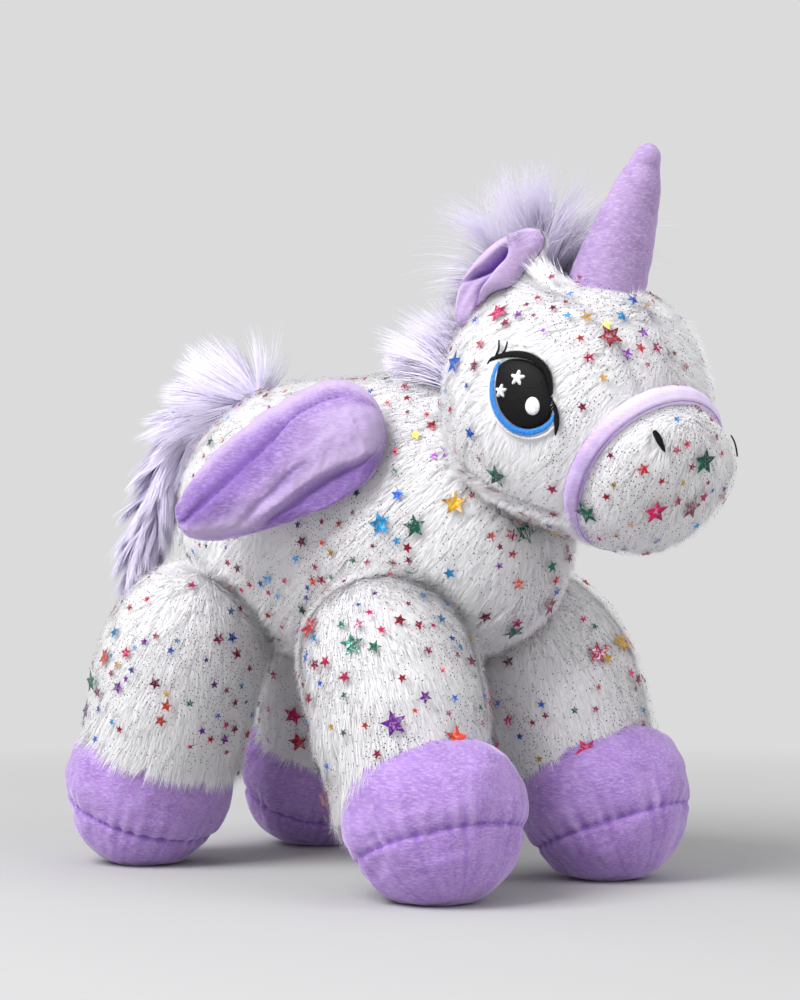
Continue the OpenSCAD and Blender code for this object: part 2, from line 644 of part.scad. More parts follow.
translate(place()) front_right_leg_stuffing();
translate(place()) front_right_hoof_upper();
translate(place()) front_right_hoof_sole();
translate(place()) hind_left_leg_skin();
translate(place()) hind_left_leg_stuffing();
translate(place()) hind_left_hoof_upper();
translate(place()) hind_left_hoof_sole();
translate(place()) hind_right_leg_skin();
translate(place()) hind_right_leg_stuffing();
translate(place()) hind_right_hoof_upper();
translate(place()) hind_right_hoof_sole();
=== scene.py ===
# %% [markdown]
# # A stuffed winged unicorn, dressed piece by piece
# The toy is sewn from fur fabric with foil stars, short lavender velboa and long pile, and filled with fibre.
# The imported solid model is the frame: it says where every panel, hoof, wing and ear sits.
# Each cell below makes one of those pieces as cloth, and hangs it on the body that it moves with.

# %% Open the frame
import bmesh
import bpy
import math
import numpy as np
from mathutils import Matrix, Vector


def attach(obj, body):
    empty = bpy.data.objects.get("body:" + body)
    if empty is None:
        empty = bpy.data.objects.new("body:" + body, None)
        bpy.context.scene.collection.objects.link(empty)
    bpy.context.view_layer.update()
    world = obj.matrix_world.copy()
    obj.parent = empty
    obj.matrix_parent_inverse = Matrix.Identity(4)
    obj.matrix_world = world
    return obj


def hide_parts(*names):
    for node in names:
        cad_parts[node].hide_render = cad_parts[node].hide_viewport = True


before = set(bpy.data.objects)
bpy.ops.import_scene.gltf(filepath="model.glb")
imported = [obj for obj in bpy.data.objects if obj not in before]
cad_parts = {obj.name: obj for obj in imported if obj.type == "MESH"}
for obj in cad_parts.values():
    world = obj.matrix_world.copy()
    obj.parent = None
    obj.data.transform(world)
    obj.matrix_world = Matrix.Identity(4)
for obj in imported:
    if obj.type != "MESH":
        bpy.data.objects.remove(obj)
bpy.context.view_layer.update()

# %% [markdown]
# ## The pattern's own curves
# A sewn animal is drafted from a few smooth curves: how wide, how tall and how far along each ring is.
# Repeating the same curves here gives much finer skins than the frame's facets, in exactly the same place.
# Lengths in these helpers are millimetres in the drafting frame; `PLACE` moves them to the shared frame.

# %% Curves of the body and the head
PLACE = np.array([0.0, 28.1255, 0.0])
BODY_LENGTH, BODY_WIDTH, BODY_HEIGHT, BELLY = 220.0, 114.0, 132.0, 97.0
HEAD_LENGTH, HEAD_WIDTH, HEAD_DEPTH, HEAD_PITCH = 138.0, 108.0, 109.0, math.radians(34)
HEAD_BACK = np.array([0.0, -75.0, 246.0])
HEAD_AXIS = np.array([0.0, -math.cos(HEAD_PITCH), -math.sin(HEAD_PITCH)])
HEAD_UP = np.array([0.0, -math.sin(HEAD_PITCH), math.cos(HEAD_PITCH)])
# Stations: share of the length, then how high the middle lies, how tall and how wide the torso is there
TORSO = [[0, .40, .96, .94], [.25, .50, 1.06, 1], [.5, .5, .99, .98], [.75, .52, 1.02, 1.02], [1, .54, 1, 1]]
# and for the head how wide it is, how far it reaches up and how far down
HEAD = [[0, .98, 1, 1], [.30, 1, 1, 1], [.52, .98, 1.03, .94], [.70, .88, .84, .82], [.81, .78, .64, .76],
        [.90, .80, .68, .76], [1, .80, .68, .76]]
# How bluntly each form closes at its two ends
TORSO_ENDS, HEAD_ENDS = (2.3, 2.5), (2, 3)


def along(stations, column, place):
    """Smooth value of a column at places on a list of stations."""
    s = np.array(stations, float)
    x, y = s[:, 0], s[:, column]
    before, after = np.maximum(np.arange(len(x)) - 1, 0), np.minimum(np.arange(len(x)) + 1, len(x) - 1)
    slope = (y[after] - y[before]) / (x[after] - x[before])
    place = np.asarray(place, float)
    i = np.clip(np.searchsorted(x, place, side="left") - 1, 0, len(x) - 2)
    h = x[i + 1] - x[i]
    t = (place - x[i]) / h
    return (y[i] * (2 * t**3 - 3 * t**2 + 1) + y[i + 1] * (3 * t**2 - 2 * t**3)
            + h * (slope[i] * (t**3 - 2 * t**2 + t) + slope[i + 1] * (t**3 - t**2)))


def closing(t, blunt_0, blunt_1):
    """How full a form is at share t of its length: 0 at its ends, 1 in its middle."""
    n = np.where(t < 0.5, blunt_0, blunt_1)
    return np.maximum(0, 1 - np.abs(2 * t - 1) ** n) ** (1 / n)


def eased(u):
    return (1 - np.cos(np.pi * u)) / 2


def unit(a):
    return a / np.maximum(np.linalg.norm(a, axis=-1, keepdims=True), 1e-12)


def smooth_step(x):
    x = np.clip(x, 0, 1)
    return x * x * (3 - 2 * x)


def torso_point(u, v, inset=0.0):
    """Point of the torso at step u from chest to rump and turn v, in degrees."""
    u, v = np.broadcast_arrays(np.asarray(u, float), np.asarray(v, float))
    t, v = eased(u), np.radians(v)
    e = closing(t, *TORSO_ENDS)
    wide = (BODY_WIDTH / 2 - inset) * along(TORSO, 3, t) * e
    tall = (BODY_HEIGHT / 2 - inset) * along(TORSO, 2, t) * e
    middle = BELLY + BODY_HEIGHT * along(TORSO, 1, t)
    length = (2 * t - 1) * (BODY_LENGTH / 2 - inset)
    return np.stack([wide * np.cos(v), length, middle + tall * np.sin(v)], -1)


def head_point(u, v, inset=0.0):
    """Point of the head at step u from back to muzzle and turn v, in degrees."""
    u, v = np.broadcast_arrays(np.asarray(u, float), np.asarray(v, float))
    t, v = eased(u), np.radians(v)
    e = closing(t, *HEAD_ENDS)
    wide = (HEAD_WIDTH / 2 - inset) * along(HEAD, 1, t) * e
    reach = (HEAD_DEPTH / 2 - inset) * np.where(np.sin(v) > 0, along(HEAD, 2, t), along(HEAD, 3, t)) * e
    length = inset + (HEAD_LENGTH - 2 * inset) * t
    return (HEAD_BACK + HEAD_AXIS * length[..., None] + np.stack([wide * np.cos(v), 0 * v, 0 * v], -1)
            + HEAD_UP * (reach * np.sin(v))[..., None])


SMALL_STEP = 0.002


def on_head(u, v, a, b, lift=0.0):
    """A point a forward and b upward of place (u, v) on the right of the head, lifted off its surface."""
    tiny = SMALL_STEP
    step_u = np.linalg.norm(head_point(u + tiny, v) - head_point(u - tiny, v), axis=-1) / (2 * tiny)
    step_v = np.linalg.norm(head_point(u, v + 1) - head_point(u, v - 1), axis=-1) / 2
    return head_point(u + np.asarray(a) / step_u, v - np.asarray(b) / step_v, -lift)


print("muzzle tip", np.round(head_point(1, 0) + PLACE, 1), "rump", np.round(torso_point(1, 0) + PLACE, 1))

# %% [markdown]
# ## Which parts are buried
# Where two stuffed forms are sewn together, each one's fur stops at the other's surface.
# These helpers say how deep a point is inside a form: 0 on its surface, positive inside, in millimetres.

# %% Depth inside the forms
OUTSIDE = -20.0
STANCE_LENGTH, STANCE_WIDTH, SOLE_HEIGHT = 192.0, 112.0, 37.0
LEG_RADIUS, LEG_LENGTH, HOOF_CUFF = 37.0, 110.0, 22.0
FRONT_LEAN, HIND_LEAN, HOOF_TILT, SPLAY = 28.0, 20.0, 20.0, 4.0
LEG_SIDE = [[0, 1.04], [30, 1.05], [45, 1.06], [58, 1.03], [72, 1.0], [85, .92], [97, .76], [105.5, .50],
            [108.8, .25], [110, 0]]


def depth_in_torso(p):
    t = np.clip((p[:, 1] / BODY_LENGTH) + 0.5, 0.0005, 0.9995)
    e = closing(t, *TORSO_ENDS)
    wide = np.maximum(BODY_WIDTH / 2 * along(TORSO, 3, t) * e, 1)
    tall = np.maximum(BODY_HEIGHT / 2 * along(TORSO, 2, t) * e, 1)
    z = p[:, 2] - (BELLY + BODY_HEIGHT * along(TORSO, 1, t))
    r = np.sqrt((p[:, 0] / wide) ** 2 + (z / tall) ** 2)
    inside = (1 - r) * np.minimum(wide, tall)
    return np.where(np.abs(p[:, 1]) < BODY_LENGTH / 2, inside, OUTSIDE)


def depth_in_head(p):
    q = p - HEAD_BACK
    t0 = (q @ HEAD_AXIS) / HEAD_LENGTH
    t = np.clip(t0, 0.0005, 0.9995)
    up = q @ HEAD_UP
    e = closing(t, *HEAD_ENDS)
    wide = np.maximum(HEAD_WIDTH / 2 * along(HEAD, 1, t) * e, 1)
    reach = np.maximum(HEAD_DEPTH / 2 * np.where(up > 0, along(HEAD, 2, t), along(HEAD, 3, t)) * e, 1)
    r = np.sqrt((q[:, 0] / wide) ** 2 + (up / reach) ** 2)
    return np.where((t0 > 0) & (t0 < 1), (1 - r) * np.minimum(wide, reach), OUTSIDE)


def turn_matrix(lean, splay):
    """Leans a limb backwards, then spreads it sideways; both in degrees."""
    a, b = math.radians(lean), math.radians(splay)
    rx = np.array([[1, 0, 0], [0, math.cos(a), -math.sin(a)], [0, math.sin(a), math.cos(a)]])
    ry = np.array([[math.cos(b), 0, math.sin(b)], [0, 1, 0], [-math.sin(b), 0, math.cos(b)]])
    return ry @ rx


def leg_frame(front, side, hoof=False):
    """Foot point and turn of a leg or its hoof; front is 1 or -1, and side is 1 on the left."""
    lean = HOOF_TILT if hoof else (FRONT_LEAN if front > 0 else HIND_LEAN)
    foot = np.array([side * STANCE_WIDTH / 2, -front * STANCE_LENGTH / 2, SOLE_HEIGHT])
    return foot, turn_matrix(-front * lean, side * -SPLAY)


def depth_in_leg(p, front, side):
    foot, turn = leg_frame(front, side)
    q = (p - foot) @ turn
    s = np.array(LEG_SIDE)
    radius = LEG_RADIUS * np.interp(q[:, 2], s[:, 0], s[:, 1])
    inside = radius - np.hypot(q[:, 0], q[:, 1])
    below_top = LEG_LENGTH - q[:, 2] + 6
    return np.where((q[:, 2] > 0) & (q[:, 2] < LEG_LENGTH), np.minimum(inside, below_top), OUTSIDE)


LEGS = [(1, 1, "front_left"), (1, -1, "front_right"), (-1, 1, "hind_left"), (-1, -1, "hind_right")]
print("legs:", [name for _, _, name in LEGS])

# %% [markdown]
# ## Shared mesh helpers
# Every finished piece is a plain mesh at the origin, closed, with its faces pointing outwards.

# %% Mesh helpers
def new_piece(name, verts, faces, smooth=True, place=PLACE):
    """A mesh object from points in millimetres."""
    mesh = bpy.data.meshes.new(name)
    co = (np.asarray(verts, float) + place) * 0.001
    mesh.from_pydata(co.tolist(), [], faces)
    mesh.update()
    ob = bpy.data.objects.new(name, mesh)
    bpy.context.scene.collection.objects.link(ob)
    if smooth:
        mesh.polygons.foreach_set("use_smooth", [True] * len(mesh.polygons))
    return ob


def grid_faces(rows, cols, closed=False, first=0, flip=False):
    out = []
    for i in range(rows - 1):
        for j in range(cols if closed else cols - 1):
            a, b = first + i * cols + j, first + i * cols + (j + 1) % cols
            c, d = b + cols, a + cols
            out.append((a, d, c, b) if flip else (a, b, c, d))
    return out


def outward(ob):
    """Turns the faces of a closed piece outwards."""
    bm = bmesh.new()
    bm.from_mesh(ob.data)
    bmesh.ops.remove_doubles(bm, verts=bm.verts, dist=1e-7)
    bmesh.ops.recalc_face_normals(bm, faces=bm.faces)
    bm.to_mesh(ob.data)
    bm.free()
    return ob


def finished(ob, body, nodes=()):
    """Says what a piece rides on and hides the solids that it stands for."""
    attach(ob, body)
    if nodes:
        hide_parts(*nodes)


def put(ob, name, values, kind="FLOAT", domain="POINT"):
    """Stores an attribute on a mesh."""
    a = ob.data.attributes.new(name, kind, domain)
    a.data.foreach_set("vector" if kind in ("FLOAT_VECTOR", "FLOAT2") else "value",
                       np.asarray(values, np.float32).ravel())


def numbers(data, key, width=3):
    """What a mesh keeps under a key, as rows of so many numbers."""
    flat = np.zeros(len(data) * width, np.float32)
    data.foreach_get(key, flat)
    return flat.reshape(-1, width).astype(float)


def coords(ob):
    return numbers(ob.data.vertices, "co")


def set_coords(ob, co):
    ob.data.vertices.foreach_set("co", np.asarray(co, np.float32).ravel())
    ob.data.update()


def drafted(metres):
    """Points of a mesh as millimetres in the drafting frame."""
    return metres * 1000 - PLACE


def soft_noise(p, scale, seed):
    """Smooth noise from a few random waves, at points in millimetres; about -1 to 1."""
    r = np.random.default_rng(seed)
    out = np.zeros(len(p))
    for _ in range(9):
        k = r.normal(size=3)
        k *= 2 * math.pi / scale * r.uniform(0.7, 1.4) / np.linalg.norm(k)
        out += np.sin(p @ k + r.uniform(0, 2 * math.pi))
    return out / 4.0


# %% [markdown]
# ## Materials
# Shader nodes give each cloth its own light: velboa has brushed patches and a pale sheen, thread has a satin
# gloss, foil is a thin metal. Colour patterns read the object's own coordinates or an attribute of the mesh.

# %% Material helpers
def emptied(owner):
    """The node tree of a material or a world, with nothing in it."""
    owner.use_nodes = True
    for n in list(owner.node_tree.nodes):
        owner.node_tree.nodes.remove(n)
    return owner.node_tree


def new_material(name):
    m = bpy.data.materials.new(name)
    nt = emptied(m)
    out = nt.nodes.new("ShaderNodeOutputMaterial")
    shader = nt.nodes.new("ShaderNodeBsdfPrincipled")
    nt.links.new(shader.outputs[0], out.inputs[0])
    return m, nt, shader


def feed(nt, target, value):
    """Links a socket to another one, or sets its fixed value."""
    if isinstance(value, bpy.types.NodeSocket):
        nt.links.new(value, target)
    else:
        target.default_value = value


def linear(r, g, b):
    """An sRGB colour of 0-255 parts as linear light."""
    def one(c):
        c /= 255
        return c / 12.92 if c <= 0.04045 else ((c + 0.055) / 1.055) ** 2.4
    return (one(r), one(g), one(b), 1.0)


def noise(nt, where, scale, detail, roughness=0.6, distortion=0.0):
    n = nt.nodes.new("ShaderNodeTexNoise")
    nt.links.new(where, n.inputs["Vector"])
    n.inputs["Scale"].default_value = scale
    n.inputs["Detail"].default_value = detail
    n.inputs["Roughness"].default_value = roughness
    n.inputs["Distortion"].default_value = distortion
    return n.outputs[0]


def object_coordinates(nt):
    return nt.nodes.new("ShaderNodeTexCoord").outputs["Object"]


def remap(nt, value, low, high, to_low=0.0, to_high=1.0):
    n = nt.nodes.new("ShaderNodeMapRange")
    for k, v in zip((1, 2, 3, 4), (low, high, to_low, to_high)):
        n.inputs[k].default_value = v
    nt.links.new(value, n.inputs[0])
    return n.outputs[0]


def mixed_colour(nt, share, a, b):
    n = nt.nodes.new("ShaderNodeMix")
    n.data_type = "RGBA"
    for socket, value in ((0, share), (6, a), (7, b)):
        feed(nt, n.inputs[socket], value)
    return n.outputs[2]


def mixed_shader(nt, share, a, b):
    n = nt.nodes.new("ShaderNodeMixShader")
    for socket, value in enumerate((share, a, b)):
        feed(nt, n.inputs[socket], value)
    return n.outputs[0]


def math_node(nt, operation, a, b):
    n = nt.nodes.new("ShaderNodeMath")
    n.operation = operation
    feed(nt, n.inputs[0], a)
    feed(nt, n.inputs[1], b)
    return n.outputs[0]


def attribute(nt, name):
    """The number that a mesh keeps under a name."""
    n = nt.nodes.new("ShaderNodeAttribute")
    n.attribute_name = name
    return n.outputs[2]


def bumped(nt, shader, height, strength, distance):
    n = nt.nodes.new("ShaderNodeBump")
    n.inputs["Strength"].default_value = strength
    n.inputs["Distance"].default_value = distance
    nt.links.new(height, n.inputs["Height"])
    nt.links.new(n.outputs[0], shader.inputs["Normal"])


# %% [markdown]
# ### Fur
# A fur strand is whiter at its tip and a little darker and cooler at its root, painted shade deep in the pile.
# The strand's own attributes carry both: `tip` runs from root to tip, `shade` differs from strand to strand.
# Light also passes through a strand, which is what makes white fur glow between the tufts, so a share of the
# shader is translucent.

# %% Fur material
THROUGH = 0.27


def pile_material(name, root, tip, odd):
    """Strands that run from a root to a tip colour; some are odd ones."""
    m, nt, shader = new_material(name)
    # The root colour is painted shade deep in the pile; the odd strands differ in tone at random
    body = mixed_colour(nt, remap(nt, attribute(nt, "tip"), 0.0, 0.75), root, tip)
    colour = mixed_colour(nt, remap(nt, attribute(nt, "shade"), 0.55, 1.0, 0.0, 0.55), body, odd)
    nt.links.new(colour, shader.inputs["Base Color"])
    shader.inputs["Roughness"].default_value = 0.62
    shader.inputs["Specular IOR Level"].default_value = 0.25
    shader.inputs["Sheen Weight"].default_value = 1.0
    shader.inputs["Sheen Roughness"].default_value = 0.5
    surface = shader.outputs[0].links[0].to_socket
    through = nt.nodes.new("ShaderNodeBsdfTranslucent")
    nt.links.new(colour, through.inputs["Color"])
    nt.links.new(mixed_shader(nt, THROUGH, shader.outputs[0], through.outputs[0]), surface)
    return m


white_pile = pile_material("white_fur_pile", linear(250, 248, 252), linear(255, 255, 255),
                           linear(248, 246, 252))
lavender_pile = pile_material("pale_lavender_long_pile", linear(230, 222, 252), linear(245, 240, 255),
                              linear(234, 226, 253))

# %% [markdown]
# ### Velboa
# Velboa is a very short plush. A hand brushes it into patches that catch the light differently, so its colour
# wanders between a pale and a deep lavender, and at a glancing angle the pile tips glow: that is the sheen.

# %% Velboa material
def velboa_material(name, deep, plain, pale, fold=(124, 84, 172)):
    m, nt, shader = new_material(name)
    where = object_coordinates(nt)
    brushed = noise(nt, where, 75.0, 3.0, distortion=0.6)
    streaks = nt.nodes.new("ShaderNodeMapping")
    streaks.inputs["Scale"].default_value = (1.0, 0.45, 2.2)
    nt.links.new(where, streaks.inputs["Vector"])
    fine = noise(nt, streaks.outputs[0], 620.0, 2.0)
    grain = noise(nt, where, 2600.0, 1.0, 0.5)
    colour = mixed_colour(nt, remap(nt, brushed, 0.36, 0.60, 0.10, 1.0), deep, plain)
    colour = mixed_colour(nt, remap(nt, fine, 0.43, 0.72, 0.0, 0.62), colour, pale)
    colour = mixed_colour(nt, remap(nt, grain, 0.30, 0.62, 0.35, 0.0), colour, deep)
    # Painted shade and painted highlight: the fold colour is mixed in where shade falls in folds, seams and hollows,
    # and the pale colour where light falls on ridges, crests and upper edges
    colour = mixed_colour(nt, attribute(nt, "painted_shade"), colour, linear(*fold))
    colour = mixed_colour(nt, attribute(nt, "ridge"), colour, pale)
    nt.links.new(colour, shader.inputs["Base Color"])
    shader.inputs["Roughness"].default_value = 0.85
    shader.inputs["Specular IOR Level"].default_value = 0.15
    shader.inputs["Sheen Weight"].default_value = 0.9
    shader.inputs["Sheen Roughness"].default_value = 0.42
    shader.inputs["Sheen Tint"].default_value = linear(228, 211, 246)
    height = math_node(nt, "ADD", math_node(nt, "MULTIPLY", fine, 0.6),
                       math_node(nt, "MULTIPLY", grain, 0.4))
    bumped(nt, shader, height, 0.5, 0.0004)
    return m


velboa = velboa_material("lavender_velboa", linear(148, 112, 182), linear(167, 133, 200),
                         linear(203, 181, 226))
pale_velboa = velboa_material("pale_lavender_velboa", linear(150, 123, 172), linear(168, 143, 189),
                              linear(206, 187, 220))
ribbon_velboa = velboa_material("ribbon_velboa", linear(196, 174, 218), linear(211, 191, 229),
                                linear(236, 224, 246))
wing_velboa = velboa_material("wing_velboa", linear(130, 100, 162), linear(148, 118, 181),
                              linear(198, 180, 214), (112, 78, 158))

# %% [markdown]
# ### Thread and foil
# Satin stitches lie side by side: the thread's colour is mixed in small patches with a darker one, a painted shade
# between the threads, and the threads are glossy.
# Foil is hot-pressed onto the pile: a creased metal film, one colour to a star, with painted glints on its creases and
# patches of painted dark reflection.

# %% Thread and foil materials
def thread_material(name, colour, dark, gloss=0.45, sheen=0.15, glint=0.5):
    m, nt, shader = new_material(name)
    lay = noise(nt, object_coordinates(nt), 1500.0, 2.0)
    # The darker colour is painted shade between the threads; the same noise gives the bump
    nt.links.new(mixed_colour(nt, remap(nt, lay, 0.35, 0.6), dark, colour), shader.inputs["Base Color"])
    shader.inputs["Roughness"].default_value = gloss
    shader.inputs["Specular IOR Level"].default_value = glint
    shader.inputs["Sheen Weight"].default_value = sheen
    bumped(nt, shader, lay, 0.6, 0.0003)
    return m


black_thread = thread_material("black_thread", linear(15, 14, 17), linear(3, 3, 4), 0.6, 0.0, 0.16)
blue_thread = thread_material("blue_thread", linear(30, 150, 232), linear(12, 104, 196))
white_thread = thread_material("white_thread", linear(246, 246, 248), linear(206, 205, 212))
seam_thread = thread_material("lavender_thread", linear(150, 116, 196), linear(112, 80, 160))

FOILS = [(30, 26, 46), (44, 22, 52), (24, 34, 80), (62, 20, 56), (120, 14, 54), (150, 16, 62),
         (186, 16, 74), (214, 26, 100), (198, 20, 44), (170, 14, 48), (220, 66, 34), (16, 92, 200),
         (26, 156, 220), (12, 100, 76), (210, 160, 24), (118, 38, 156)]


def foil_material():
    m, nt, shader = new_material("coloured_foil")
    ramp = nt.nodes.new("ShaderNodeValToRGB")
    ramp.color_ramp.interpolation = "CONSTANT"
    elements = ramp.color_ramp.elements
    while len(elements) < len(FOILS):
        elements.new(1.0)
    for i, colour in enumerate(FOILS):
        elements[i].position = i / len(FOILS)
        elements[i].color = linear(*colour)
    nt.links.new(attribute(nt, "hue"), ramp.inputs[0])
    where = object_coordinates(nt)
    creases = noise(nt, where, 620.0, 3.0, distortion=0.8)
    glance = noise(nt, where, 150.0, 2.0, 0.5, 0.4)
    # Painted glints: the creases are mixed towards a pale pink white. Painted reflection: patches of noise are mixed
    # towards near black
    lit = mixed_colour(nt, remap(nt, creases, 0.52, 0.72, 0.0, 0.7), ramp.outputs[0],
                       linear(250, 236, 246))
    colour = mixed_colour(nt, remap(nt, glance, 0.38, 0.56, 0.55, 0.0), lit, linear(20, 12, 26))
    nt.links.new(colour, shader.inputs["Base Color"])
    shader.inputs["Metallic"].default_value = 0.6
    shader.inputs["Roughness"].default_value = 0.3
    bumped(nt, shader, creases, 0.25, 0.0003)
    return m


foil = foil_material()
print("materials:", [m.name for m in bpy.data.materials])

# %% [markdown]
# ## Growing a pile with Geometry Nodes
# Fur fabric is thousands of like strands on a knitted backing: just the thing that nodes repeat well.
# The tree scatters points on a skin, makes one bent, tapering strand, turns each copy along the nap and leans
# neighbours together into tufts. The skin's attributes steer it: `nap` is the way the pile is brushed, `out`
# points away from the cloth, `pile` is the strand's length and `cover` thins the fur where pieces meet.

# %% Node helpers
def new_tree(name, inputs):
    """An empty node group with named inputs; returns it with the helpers that add and link nodes."""
    tree = bpy.data.node_groups.new(name, "GeometryNodeTree")
    tree.is_modifier = True
    tree.interface.new_socket("Geometry", in_out="INPUT", socket_type="NodeSocketGeometry")
    for label, kind, value in inputs:
        s = tree.interface.new_socket(label, in_out="INPUT", socket_type=kind)
        if value is not None:
            s.default_value = value
    tree.interface.new_socket("Geometry", in_out="OUTPUT", socket_type="NodeSocketGeometry")
    start = tree.nodes.new("NodeGroupInput")
    end = tree.nodes.new("NodeGroupOutput")

    def node(kind, links=(), **settings):
        n = tree.nodes.new(kind)
        for k, v in settings.items():
            setattr(n, k, v)
        for socket, value in dict(links).items():
            feed(tree, n.inputs[socket], value)
        return n
    return tree, start, end, node


def ranged(node, low, high, seed):
    """A random number for each point."""
    return node("FunctionNodeRandomValue", {2: low, 3: high, "Seed": seed}, data_type="FLOAT").outputs[1]


def any_way(node, seed):
    """A random vector for each point, with parts from -1 to 1."""
    return node("FunctionNodeRandomValue", {0: (-1, -1, -1), 1: (1, 1, 1), "Seed": seed},
                data_type="FLOAT_VECTOR").outputs[0]


def named(node, label, kind="FLOAT"):
    return node("GeometryNodeInputNamedAttribute", {"Name": label}, data_type=kind).outputs[0]


def kept(node, geometry, label, value):
    """Keeps a number on each point of a geometry, under a name."""
    return node("GeometryNodeStoreNamedAttribute", {"Geometry": geometry, "Name": label, "Value": value},
                data_type="FLOAT", domain="POINT").outputs[0]


def vmath(node, operation, a, b=None, scale=None):
    given = {key: x for key, x in ((0, a), (1, b), ("Scale", scale)) if x is not None}
    n = node("ShaderNodeVectorMath", given, operation=operation)
    return n.outputs[1] if operation in ("LENGTH", "DOT_PRODUCT") else n.outputs[0]


def fmath(node, operation, a, b=None, clamp=False):
    given = {key: x for key, x in ((0, a), (1, b)) if x is not None}
    return node("ShaderNodeMath", given, operation=operation, use_clamp=clamp).outputs[0]


def grown(ob, tree, values, name):
    """Runs a tree on a piece, with inputs set by name before the first evaluation, and keeps a plain mesh."""
    mod = ob.modifiers.new("grow", "NODES")
    mod.node_group = tree
    for item in tree.interface.items_tree:
        if item.item_type == "SOCKET" and item.in_out == "INPUT" and item.name in values:
            mod[item.identifier] = values[item.name]
    bpy.context.view_layer.update()
    result = bpy.data.meshes.new_from_object(ob.evaluated_get(bpy.context.evaluated_depsgraph_get()))
    ob.modifiers.remove(mod)
    result.name = name
    made = bpy.data.objects.new(name, result)
    bpy.context.scene.collection.objects.link(made)
    return made


def softened(ob, share):
    """Turns the strands' shading towards the skin under them, so that the pile shades as one soft surface."""
    out = numbers(ob.data.attributes["out"].data, "vector") * share
    own = numbers(ob.data.vertices, "normal") * (1 - share)
    ob.data.normals_split_custom_set_from_vertices(unit(out + own))


# %% The pile tree
def pile_tree(name, segments):
    """Strands of so many segments on a skin, which is kept under them."""
    number = "NodeSocketFloat"
    tree, start, end, node = new_tree(name, [
        ("Strands per mm2", number, 2.0), ("Strand Width", number, 0.00045), ("Rise", number, 0.45),
        ("Curl", number, 0.25), ("Tuft Size", number, 0.006), ("Tuft Pull", number, 0.5),
        ("Wander", number, 0.5), ("Jitter", number, 0.2), ("Seed", "NodeSocketInt", 1),
        ("Material", "NodeSocketMaterial", None)])
    g = {s.name: s for s in start.outputs}
    per_m2 = fmath(node, "MULTIPLY", g["Strands per mm2"], 1e6)
    density = fmath(node, "MULTIPLY", per_m2, named(node, "cover"))
    scatter = node("GeometryNodeDistributePointsOnFaces",
                   {"Mesh": g["Geometry"], "Density": density, "Seed": g["Seed"]}, distribute_method="RANDOM")
    here = node("GeometryNodeInputPosition").outputs[0]
    nap, out = named(node, "nap", "FLOAT_VECTOR"), named(node, "out", "FLOAT_VECTOR")
    pile = named(node, "pile")
    # Tufts: each strand leans towards the middle of its cell, and whole tufts wander off the nap
    cells = node("ShaderNodeTexVoronoi", {"Vector": here, "Scale": fmath(node, "DIVIDE", 1.0, g["Tuft Size"])},
                 feature="F1", voronoi_dimensions="3D")
    pull = vmath(node, "SCALE", vmath(node, "SUBTRACT", cells.outputs["Position"], here),
                 scale=fmath(node, "DIVIDE", g["Tuft Pull"], fmath(node, "MAXIMUM", pile, 0.001)))
    drift = node("ShaderNodeTexNoise", {"Vector": cells.outputs["Position"], "Scale": 60.0, "Detail": 2.0},
                 noise_dimensions="3D")
    wander = vmath(node, "SCALE", vmath(node, "SUBTRACT", drift.outputs["Color"], (0.5, 0.5, 0.5)),
                   scale=fmath(node, "MULTIPLY", g["Wander"], 3.0))
    loose = vmath(node, "SCALE", any_way(node, 3), scale=g["Jitter"])
    # Most strands lie close, and a few stand up: they are the fluff of the outline
    standing = fmath(node, "POWER", ranged(node, 0.0, 1.0, 14), 3.0)
    rise = vmath(node, "SCALE", out, scale=fmath(node, "MULTIPLY", g["Rise"],
                 fmath(node, "ADD", 0.75, fmath(node, "MULTIPLY", standing, 1.3))))
    astray = vmath(node, "ADD", pull, vmath(node, "ADD", wander, loose))
    way = vmath(node, "ADD", vmath(node, "ADD", nap, rise), astray)
    # Never into the cloth: at least a little of the way is outward
    sunk = vmath(node, "DOT_PRODUCT", way, out)
    least = fmath(node, "MULTIPLY", g["Rise"], 0.45)
    lift = fmath(node, "MAXIMUM", fmath(node, "SUBTRACT", least, sunk), 0.0)
    way = vmath(node, "NORMALIZE", vmath(node, "ADD", way, vmath(node, "SCALE", out, scale=lift)))
    turn = node("FunctionNodeAxesToRotation", {"Primary Axis": way, "Secondary Axis": out}, primary_axis="Y",
                secondary_axis="Z")
    # One strand of unit length along Y, narrowing to its tip and curling over
    strip = node("GeometryNodeMeshGrid", {"Size X": 1.0, "Size Y": 1.0, "Vertices X": 2,
                 "Vertices Y": segments + 1})
    xyz = node("ShaderNodeSeparateXYZ", {0: here})
    share = fmath(node, "ADD", xyz.outputs[1], 0.5)
    narrow = fmath(node, "SUBTRACT", 1.0, fmath(node, "POWER", share, 2.2), True)
    arch = fmath(node, "MULTIPLY", g["Curl"], fmath(node, "SUBTRACT", share, fmath(node, "MULTIPLY", share,
                 fmath(node, "MULTIPLY", share, 1.6))))
    across = fmath(node, "MULTIPLY", xyz.outputs[0], narrow)
    shaped = node("ShaderNodeCombineXYZ", {0: across, 1: share, 2: arch})
    strand = node("GeometryNodeSetPosition", {"Geometry": kept(node, strip.outputs[0], "tip", share),
                  "Position": shaped.outputs[0]})
    strand = node("GeometryNodeMergeByDistance", {"Distance": 0.0001, "Geometry": kept(
        node, strand.outputs[0], "across", fmath(node, "ADD", xyz.outputs[0], 0.5))})
    # Copies: width and length by strand
    length = fmath(node, "MULTIPLY", pile, ranged(node, 0.72, 1.12, 11))
    width = fmath(node, "MULTIPLY", g["Strand Width"], ranged(node, 0.7, 1.2, 12))
    size = node("ShaderNodeCombineXYZ", {0: width, 1: length, 2: length})
    shaded = kept(node, scatter.outputs[0], "shade", ranged(node, 0.0, 1.0, 13))
    copies = node("GeometryNodeInstanceOnPoints", {"Points": shaded, "Instance": strand.outputs[0],
                  "Rotation": turn.outputs[0], "Scale": size.outputs[0]})
    real = node("GeometryNodeRealizeInstances", {"Geometry": copies.outputs[0]})
